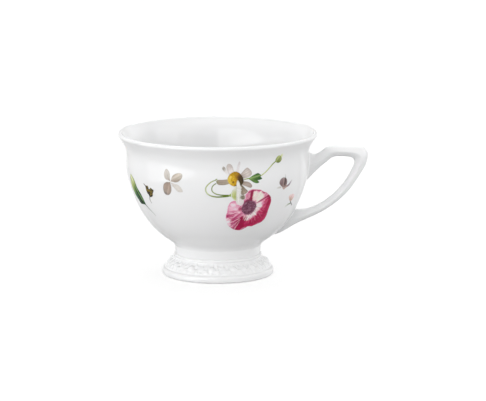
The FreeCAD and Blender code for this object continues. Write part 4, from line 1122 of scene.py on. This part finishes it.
def paint_floret(P):
    c = Ink(P)
    c.petal([(0.7, -0.45), (2.4, -0.9), (4.4, -1.3), (5.6, -2.4), (6.5, -4.2), (5.8, -4.8), (4.0, -4.7), (2.6, -3.4), (1.3, -1.9)], (0.8, -0.6), (6.3, -4.6),
            [(0, (218, 211, 205)), (0.5, (226, 221, 214)), (1, (218, 212, 204))], edge=(214, 208, 202), streak=0.10, streak_n=1.8, seed=111, opacity=0.9)
    c.petal([(0.3, 0.3), (-0.6, 0.45), (-2.2, 0.95), (-3.0, 2.5), (-2.75, 4.4), (-1.8, 5.75), (-0.7, 5.2), (0.1, 3.8), (0.35, 1.9)], (0.1, 0.3), (-1.7, 5.8),
            [(0, (172, 162, 153)), (0.3, (194, 186, 178)), (0.8, (208, 202, 195)), (1, (202, 197, 190))], edge=(198, 192, 186), edge_w=0.35, streak=0.14, streak_n=2.2, seed=112)
    d, u, v = c.petal([(0.7, 0.25), (1.0, 1.4), (1.7, 2.85), (3.2, 3.9), (5.2, 4.35), (6.55, 3.8), (6.45, 2.2), (5.2, 0.7), (3.4, -0.15), (1.6, -0.05)], (0.7, 0.2), (6.5, 3.6),
                      [(0, (168, 156, 145)), (0.35, (186, 174, 161)), (0.75, (206, 196, 181)), (1, (212, 208, 201))], edge=(192, 184, 175), edge_w=0.35, streak=0.24, streak_n=2.0, seed=113)
    c.tint(sstep(0, -0.2, d) * sstep(-0.1, -1.2, u) * 0.5, lin((168, 157, 146))[None])
    c.tint(sstep(0, -0.2, d) * np.exp(-((u - 0.7) / 0.5) ** 2) * 0.45, lin((232, 220, 206))[None])
    d, u, v = c.petal([(0.3, -0.3), (-0.4, -0.35), (-1.8, -0.45), (-3.3, -1.5), (-4.0, -3.6), (-3.9, -5.6), (-3.0, -6.75), (-1.2, -6.7), (0.2, -5.2), (0.65, -3.1), (0.45, -1.1)], (0.0, -0.3), (-2.0, -6.8),
                      [(0, (166, 152, 143)), (0.4, (186, 169, 157)), (0.8, (186, 173, 163)), (1, (146, 140, 135))], edge=(160, 152, 146), edge_w=0.4, streak=0.22, streak_n=2.2, seed=114)
    c.tint(sstep(0, -0.2, d) * np.exp(-((u - 0.2) / 0.45) ** 2) * 0.35, lin((206, 186, 172))[None])
    r = np.hypot(P[:, 0] - 0.45, P[:, 1])
    c.tint(sstep(1.2, 0.2, r) * 0.55, lin((150, 139, 130))[None])
    c.lay(r - 0.32, np.tile(lin((226, 218, 206)), (len(P), 1)), 0.2, 0.8)
    return c


def paint_sprig(P):
    c = Ink(P)
    c.stroke([(-0.3, -2.6), (-0.9, -4.3), (-0.8, -5.2), (-0.4, -6.3)], 0.48, 0.30, [(0, (104, 96, 62)), (0.5, (112, 114, 98)), (1, (150, 152, 144))], soft=0.14)
    c.stroke([(-3.1, 3.25), (-2.2, 2.6), (-1.2, 1.9)], 0.26, 0.9, [(0, (110, 106, 84)), (1, (76, 66, 34))], soft=0.14)
    d, u, v = c.petal([(-1.9, 2.2), (-1.0, 2.55), (-0.1, 2.45), (0.15, 1.3), (0.5, 0.3), (0.1, -1.2), (-0.6, -2.1), (-1.5, -1.5), (-2.0, -0.3), (-2.0, 1.0)], (-0.9, 2.5), (-0.7, -2.1),
                      [(0, (64, 60, 34)), (0.4, (104, 88, 38)), (0.75, (126, 106, 48)), (1, (160, 142, 94))], edge=(72, 62, 32), edge_w=0.25, streak=0.55, streak_n=2.6, seed=121)
    d2, u, v = c.petal([(0.2, 0.7), (1.0, 1.3), (1.6, 1.85), (2.5, 1.45), (3.4, 0.8), (2.6, -0.7), (1.9, -2.3), (0.8, -2.95), (-0.4, -2.9), (-0.8, -1.6)], (0.4, 1.2), (0.9, -2.9),
                       [(0, (126, 122, 88)), (0.35, (88, 78, 36)), (0.7, (58, 50, 24)), (1, (84, 74, 40))], edge=(50, 44, 24), edge_w=0.22, streak=0.60, streak_n=2.2, seed=122)
    blot = vnoise(P[:, 0] * 1.9, P[:, 1] * 1.9, 123)
    c.tint(sstep(0.47, 0.58, blot) * 0.90, lin((30, 27, 16))[None])
    c.tint(sstep(0.42, 0.30, blot) * 0.55, lin((160, 138, 70))[None])
    blot2 = vnoise(P[:, 0] * 3.1 + 7.0, P[:, 1] * 3.1, 124)
    c.tint(sstep(0.55, 0.70, blot2) * 0.70, lin((40, 34, 16))[None])
    return c


def paint_blade(P):
    c = Ink(P)
    c.stroke([(2.8, -6.4), (4.7, -8.2), (6.4, -9.7), (8.1, -11.2), (8.9, -12.4)], 0.75, 0.34,
             [(0, (40, 62, 46)), (0.2, (108, 122, 110)), (0.6, (146, 152, 146)), (1, (176, 180, 176))], edge=(120, 128, 120), soft=0.16)
    blade = [(-5.1, 7.2), (-3.3, 6.4), (-1.8, 5.2), (-0.8, 3.4), (-0.2, 1.5), (1.0, -0.1), (2.3, -1.9), (3.1, -3.8), (3.5, -5.6), (3.7, -6.95),
             (1.5, -7.15), (-1.9, -7.3), (-3.2, -5.7), (-5.3, -3.8), (-6.5, -1.9), (-7.4, 0.2), (-7.6, 2.6), (-6.6, 5.3)]
    d, u, v = c.petal(blade, (3.4, -6.9), (-5.6, 7.0), [(0, (24, 62, 42)), (0.22, (26, 72, 48)), (0.42, (44, 96, 54)), (0.58, (110, 140, 66)), (0.72, (172, 184, 104)), (0.88, (208, 214, 158)), (1, (150, 156, 124))],
                      edge=(36, 72, 48), edge_w=0.35, streak=0.5, streak_n=1.15, seed=131)
    inside = sstep(0.0, -0.3, d)
    x, y = P[:, 0], P[:, 1]
    for off, w, col, amt in ((0.1, 0.36, (150, 178, 104), 0.75), (1.7, 0.95, (16, 44, 28), 0.92), (-1.6, 0.75, (18, 52, 34), 0.88),
                             (-0.75, 0.16, (104, 158, 104), 0.55), (-2.7, 0.25, (40, 92, 58), 0.5)):
        bend = off * (1 - np.clip(v, 0, 1) ** 2 * 0.55)
        c.tint(inside * np.exp(-((u - bend) / w) ** 2) * amt * sstep(0.02, 0.18, v) * sstep(0.82, 0.45, v), lin(col)[None])
    tipk = sstep(0.62, 0.9, v)
    c.tint(inside * tipk * np.exp(-((u + 0.1) / 1.0) ** 2) * 0.85, lin((214, 218, 168))[None])
    c.tint(inside * tipk * np.exp(-((u - 1.7) / 0.45) ** 2) * 0.75, lin((72, 86, 56))[None])
    c.tint(inside * sstep(0.45, 0.7, v) * np.exp(-((u + 1.7) / 0.35) ** 2) * 0.6, lin((92, 112, 66))[None])
    return c


def print_piece(name, nodename, theta, z, painter, box, step, scale=1.0, margin=0.24, lift=0.03, sink=0.05, turn=0.0, light=0.92, gloss=0.02, mat=None):
    """lay a painted motif on the wall as a thin closed skin, theta degrees round from -Y towards +X, centred at height z"""
    xs = np.arange(box[0], box[2] + step, step)
    ys = np.arange(box[1], box[3] + step, step)
    X, Y = np.meshgrid(xs, ys, indexing="ij")
    P = np.c_[X.ravel(), Y.ravel()]
    D = painter(P).D.reshape(X.shape) - margin
    ins = D < 0
    cell = ins[:-1, :-1] | ins[1:, :-1] | ins[:-1, 1:] | ins[1:, 1:]
    used = np.zeros(X.shape, bool)
    used[:-1, :-1] |= cell
    used[1:, :-1] |= cell
    used[:-1, 1:] |= cell
    used[1:, 1:] |= cell
    gx, gy = np.gradient(D, step)
    gl = np.maximum(np.hypot(gx, gy), 0.35)
    out = used & ~ins
    k = np.clip(D, 0, 1.2 * step) / gl ** 2
    X = np.where(out, X - k * gx, X)
    Y = np.where(out, Y - k * gy, Y)
    idx = np.full(X.shape, -1)
    idx[used] = np.arange(used.sum())
    L = np.c_[X[used], Y[used]]
    ink = painter(L)
    # flat drawing -> wall
    th = math.radians(theta)
    s0 = float(s_of_z(z))
    rc = float(np.interp(s0, OUT_S, OUT[:, 0]))
    ct, st = math.cos(math.radians(turn)), math.sin(math.radians(turn))
    a = (L[:, 0] * ct - L[:, 1] * st) * scale
    b = (L[:, 0] * st + L[:, 1] * ct) * scale
    w, n = wall_at(s0 + b)
    ang = th + a / rc

    def lifted(h):
        r = w[:, 0] + n[:, 0] * h
        return np.c_[r * np.sin(ang), -r * np.cos(ang), w[:, 1] + n[:, 1] * h]

    top, bot = lifted(lift), lifted(-sink)
    N = len(L)
    ci, cj = np.nonzero(cell)
    q = np.c_[idx[ci, cj], idx[ci + 1, cj], idx[ci + 1, cj + 1], idx[ci, cj + 1]]
    # boundary edges, in the order of the faces they belong to
    e = np.concatenate([q[:, [0, 1]], q[:, [1, 2]], q[:, [2, 3]], q[:, [3, 0]]])
    key = np.minimum(e[:, 0], e[:, 1]) * (N + 1) + np.maximum(e[:, 0], e[:, 1])
    uq, inv, cnt = np.unique(key, return_inverse=True, return_counts=True)
    be = e[cnt[inv] == 1]
    F = q.tolist() + (q[:, ::-1] + N).tolist() + np.c_[be[:, 1], be[:, 0], be[:, 0] + N, be[:, 1] + N].tolist()
    ob = build(name, np.vstack([top, bot]), F)
    me = ob.data
    white = lin((255, 255, 255)) * GLAZE
    aa = ink.a[:, None]
    rgb = np.where(aa > 1e-3, ink.rgb / np.maximum(aa, 1e-3), white[None])
    rgb = np.clip((rgb - gloss) / light, 0.005, 0.80)      # tones are written as they look in place: take the light and the gloss back out
    rgba = np.c_[rgb, np.ones(N)]
    rgba = np.vstack([rgba, rgba]).astype(np.float32)
    if len(me.vertices) == 2 * N:
        at = me.attributes.new("print", "FLOAT_COLOR", "POINT")
        at.data.foreach_set("color", rgba.ravel())
        cv = me.attributes.new("cover", "FLOAT", "POINT")
        cv.data.foreach_set("value", np.r_[ink.a, ink.a].astype(np.float32))
    sharpen(ob, 50)
    me.materials.append(mat or M_PRINT)
    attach(ob, "root")
    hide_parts(nodename)
    return ob


print_piece("Anemone_print", "anemone_decal", 21.49, 38.68, paint_anemone, (-12, -14.4, 12.6, 10.6), 0.14, lift=0.024, light=0.87, gloss=0.014, mat=M_PETAL)
print_piece("Daisy_print", "daisy_decal", 11.05, 53.01, paint_daisy, (-9.6, -14.2, 9.6, 9.4), 0.13, lift=0.040, light=0.96, gloss=0.016)
print_piece("Tendril_print", "tendril_decal", 3.18, 48.89, paint_tendril, (-9, -7.4, 8.4, 5.6), 0.11, lift=0.030, light=0.94, gloss=0.016)
print_piece("Bud_stem_print", "bud_stem_decal", 24.38, 52.91, paint_bud_stem, (-7.4, -4, 15.4, 11.8), 0.11, lift=0.030, light=0.93, gloss=0.017)
print_piece("Violet_bud_print", "violet_bud_decal", 45.33, 49.12, paint_violet, (-5, -5, 7.6, 5.2), 0.10, light=0.93, gloss=0.019)
print_piece("Rosebud_print", "rosebud_decal", 58.37, 40.09, paint_rosebud, (-6, -6, 4.8, 3.6), 0.10, light=0.80, gloss=0.030)
print_piece("Floret_print", "floret_decal", -30.11, 50.9, paint_floret, (-5.4, -8, 8, 7), 0.12, light=1.02, gloss=0.085)
print_piece("Sprig_print", "sprig_decal", -48.67, 44.63, paint_sprig, (-4.4, -7.6, 4.8, 4.6), 0.10, light=0.98, gloss=0.020)
print_piece("Grass_leaf_print", "grass_leaf_decal", -62.56, 43.51, paint_blade, (-9, -13.8, 10.4, 8.6), 0.13, light=0.92, gloss=0.015, mat=M_LEAF)
print_piece("Back_floret_print", "back_floret_decal", 158.0, 47.5, paint_floret, (-5.4, -8, 8, 7), 0.12)
print_piece("Back_rosebud_print", "back_rosebud_decal", -163.0, 39.0, paint_rosebud, (-6, -6, 4.8, 3.6), 0.10)
print_piece("Back_violet_bud_print", "back_violet_bud_decal", -128.0, 50.0, paint_violet, (-5, -5, 7.6, 5.2), 0.10)
print_piece("Back_grass_leaf_print", "back_grass_leaf_decal", -100.0, 40.5, paint_blade, (-9, -13.8, 10.4, 8.6), 0.13, mat=M_LEAF)

# ------------------------------------------------------------------ stage


def table_material(name):
    """milk-white table that lets some of the backlight through"""
    m = bpy.data.materials.new(name)
    m.use_nodes = True
    nt = m.node_tree
    nt.nodes.clear()
    out = node(nt, "ShaderNodeOutputMaterial")
    mix = node(nt, "ShaderNodeMixShader")
    mix.inputs["Fac"].default_value = 0.4
    clear = node(nt, "ShaderNodeBsdfTransparent")
    milk = node(nt, "ShaderNodeBsdfDiffuse")
    tc = node(nt, "ShaderNodeTexCoord")
    n1 = node(nt, "ShaderNodeTexNoise")
    n1.inputs["Scale"].default_value = 3.0
    nt.links.new(tc.outputs["Object"], n1.inputs["Vector"])
    r = node(nt, "ShaderNodeValToRGB")
    r.color_ramp.elements[0].color = (0.695, 0.695, 0.695, 1)
    r.color_ramp.elements[1].color = (0.705, 0.705, 0.705, 1)
    nt.links.new(n1.outputs["Fac"], r.inputs["Fac"])
    nt.links.new(r.outputs["Color"], milk.inputs["Color"])
    nt.links.new(clear.outputs["BSDF"], mix.inputs[1])
    nt.links.new(milk.outputs["BSDF"], mix.inputs[2])
    nt.links.new(mix.outputs["Shader"], out.inputs["Surface"])
    return m


def floor():
    me = bpy.data.meshes.new("Floor")
    s = 12.0
    me.from_pydata([(-s, -s, 0), (s, -s, 0), (s, s, 0), (-s, s, 0)], [], [(0, 1, 2, 3)])
    ob = bpy.data.objects.new("Floor", me)
    bpy.context.scene.collection.objects.link(ob)
    ob.location.z = -0.00002
    me.materials.append(table_material("white_table"))


floor()


def area(name, loc, target, size_x, size_y, radiance):
    l = bpy.data.lights.new(name, "AREA")
    l.shape = "RECTANGLE"
    l.size = size_x
    l.size_y = size_y
    l.energy = radiance * math.pi * size_x * size_y
    ob = bpy.data.objects.new(name, l)
    bpy.context.scene.collection.objects.link(ob)
    ob.location = loc
    d = Vector(target) - Vector(loc)
    ob.rotation_euler = d.to_track_quat("-Z", "Y").to_euler()
    return ob


area("Top", (0.0, 0.1, 1.1), (0.0, 0.0, 0.05), 0.8, 0.8, 0.49)
area("Top_back", (0.1, 0.9, 0.9), (0.0, 0.0, 0.05), 1.2, 0.6, 1.4)
area("Top_front", (-0.1, -0.25, 1.2), (0.0, 0.0, 0.05), 0.7, 0.5, 0.20)
area("Fill_right", (1.1, -0.3, 0.5), (0.0, 0.0, 0.05), 0.8, 0.8, 1.2)

# light tent: the world is a set of soft-edged panels round the object
world = bpy.data.worlds.new("Tent")
bpy.context.scene.world = world
world.use_nodes = True
wt = world.node_tree
bg = wt.nodes["Background"]
wtc = node(wt, "ShaderNodeTexCoord")


def plane(direction, level, soft):
    """1 where the view direction lies beyond a plane, 0 before it"""
    v = node(wt, "ShaderNodeVectorMath", operation="DOT_PRODUCT")
    wt.links.new(wtc.outputs["Generated"], v.inputs[0])
    v.inputs[1].default_value = direction
    n = node(wt, "ShaderNodeMapRange", interpolation_type="SMOOTHSTEP")
    wt.links.new(v.outputs["Value"], n.inputs["Value"])
    n.inputs["From Min"].default_value = level - soft
    n.inputs["From Max"].default_value = level + soft
    return n.outputs["Result"]


def wmath(op, a, b):
    n = node(wt, "ShaderNodeMath", operation=op)
    for k, v in enumerate((a, b)):
        if isinstance(v, (int, float)):
            n.inputs[k].default_value = v
        else:
            wt.links.new(v, n.inputs[k])
    return n.outputs["Value"]


TENT = [
    (0.48, [((0, 1, 0), 0.93, 0.04), ((0, 0, 1), -0.45, 0.12), ((0, 0, -1), -0.10, 0.06)]),      # back, low: the white behind the table
    (0.51, [((0, 1, 0), 0.55, 0.35), ((0, 0, 1), -0.45, 0.12), ((0, 0, -1), -0.03, 0.04)]),      # the same, wider
    (0.80, [((1, 0, 0), 0.5, 0.2), ((0, 0, -1), -0.0, 0.03)]),     # right, below
    (1.60, [((-0.568, 0, 1), 0.158, 0.03), ((-1, 0, 0), 0.3, 0.05), ((0, 0, -1), -0.25, 0.05), ((0, -1, 0), -0.12, 0.03)]),   # left panel
    (2.20, [((-1, 0, 0), 0.0, 0.012), ((0, 0, -1), -0.62, 0.015), ((0, -1, -0.47), 0.375, 0.015), ((-0.568, 0, 1), 0.158, 0.03)]),  # front-left softbox
    (0.55, [((0, 0, 1), 0.8, 0.05)]),                                                           # roof
    (0.34, [((-1, 0, 0), 0.5, 0.1), ((0, 0, 1), 0.0, 0.05)]),
    (0.66, [((1, 0, 0), 0.5, 0.1), ((0, 0, 1), 0.0, 0.05)]),
    (0.49, [((0, 1, 0), 0.4, 0.1), ((0, 0, 1), 0.0, 0.05)]),
    (0.25, [((0, -1, 0), 0.4, 0.1), ((0, 0, 1), 0.0, 0.05)]),
]
total = 0.225
for level, planes in TENT:
    f = plane(*planes[0])
    for pl in planes[1:]:
        f = wmath("MULTIPLY", f, plane(*pl))
    total = wmath("ADD", wmath("MULTIPLY", f, level), total)
wt.links.new(total, bg.inputs["Strength"])
bg.inputs["Color"].default_value = (1.0, 1.0, 1.0, 1.0)

# ------------------------------------------------------------------ camera
ELEV = math.radians(10.788)
DIST, FPX = 1197.2, 2515.0
AIM = Vector((12.02, 0.0, 34.835)) * MM
cam = bpy.data.cameras.new("Camera")
cam.sensor_fit = "HORIZONTAL"
cam.sensor_width = 36.0
cam.lens = 36.0 * FPX / 486.0
cam.clip_start = 0.05
cam.clip_end = 60.0
co = bpy.data.objects.new("Camera", cam)
bpy.context.scene.collection.objects.link(co)
fwd = Vector((0, math.cos(ELEV), -math.sin(ELEV)))
co.location = AIM - fwd * DIST * MM
co.rotation_euler = fwd.to_track_quat("-Z", "Y").to_euler()
bpy.context.scene.camera = co
bpy.context.scene.view_settings.view_transform = "Standard"
bpy.context.scene.view_settings.look = "None"
bpy.context.scene.view_settings.exposure = 0.0
bpy.context.scene.view_settings.gamma = 1.0
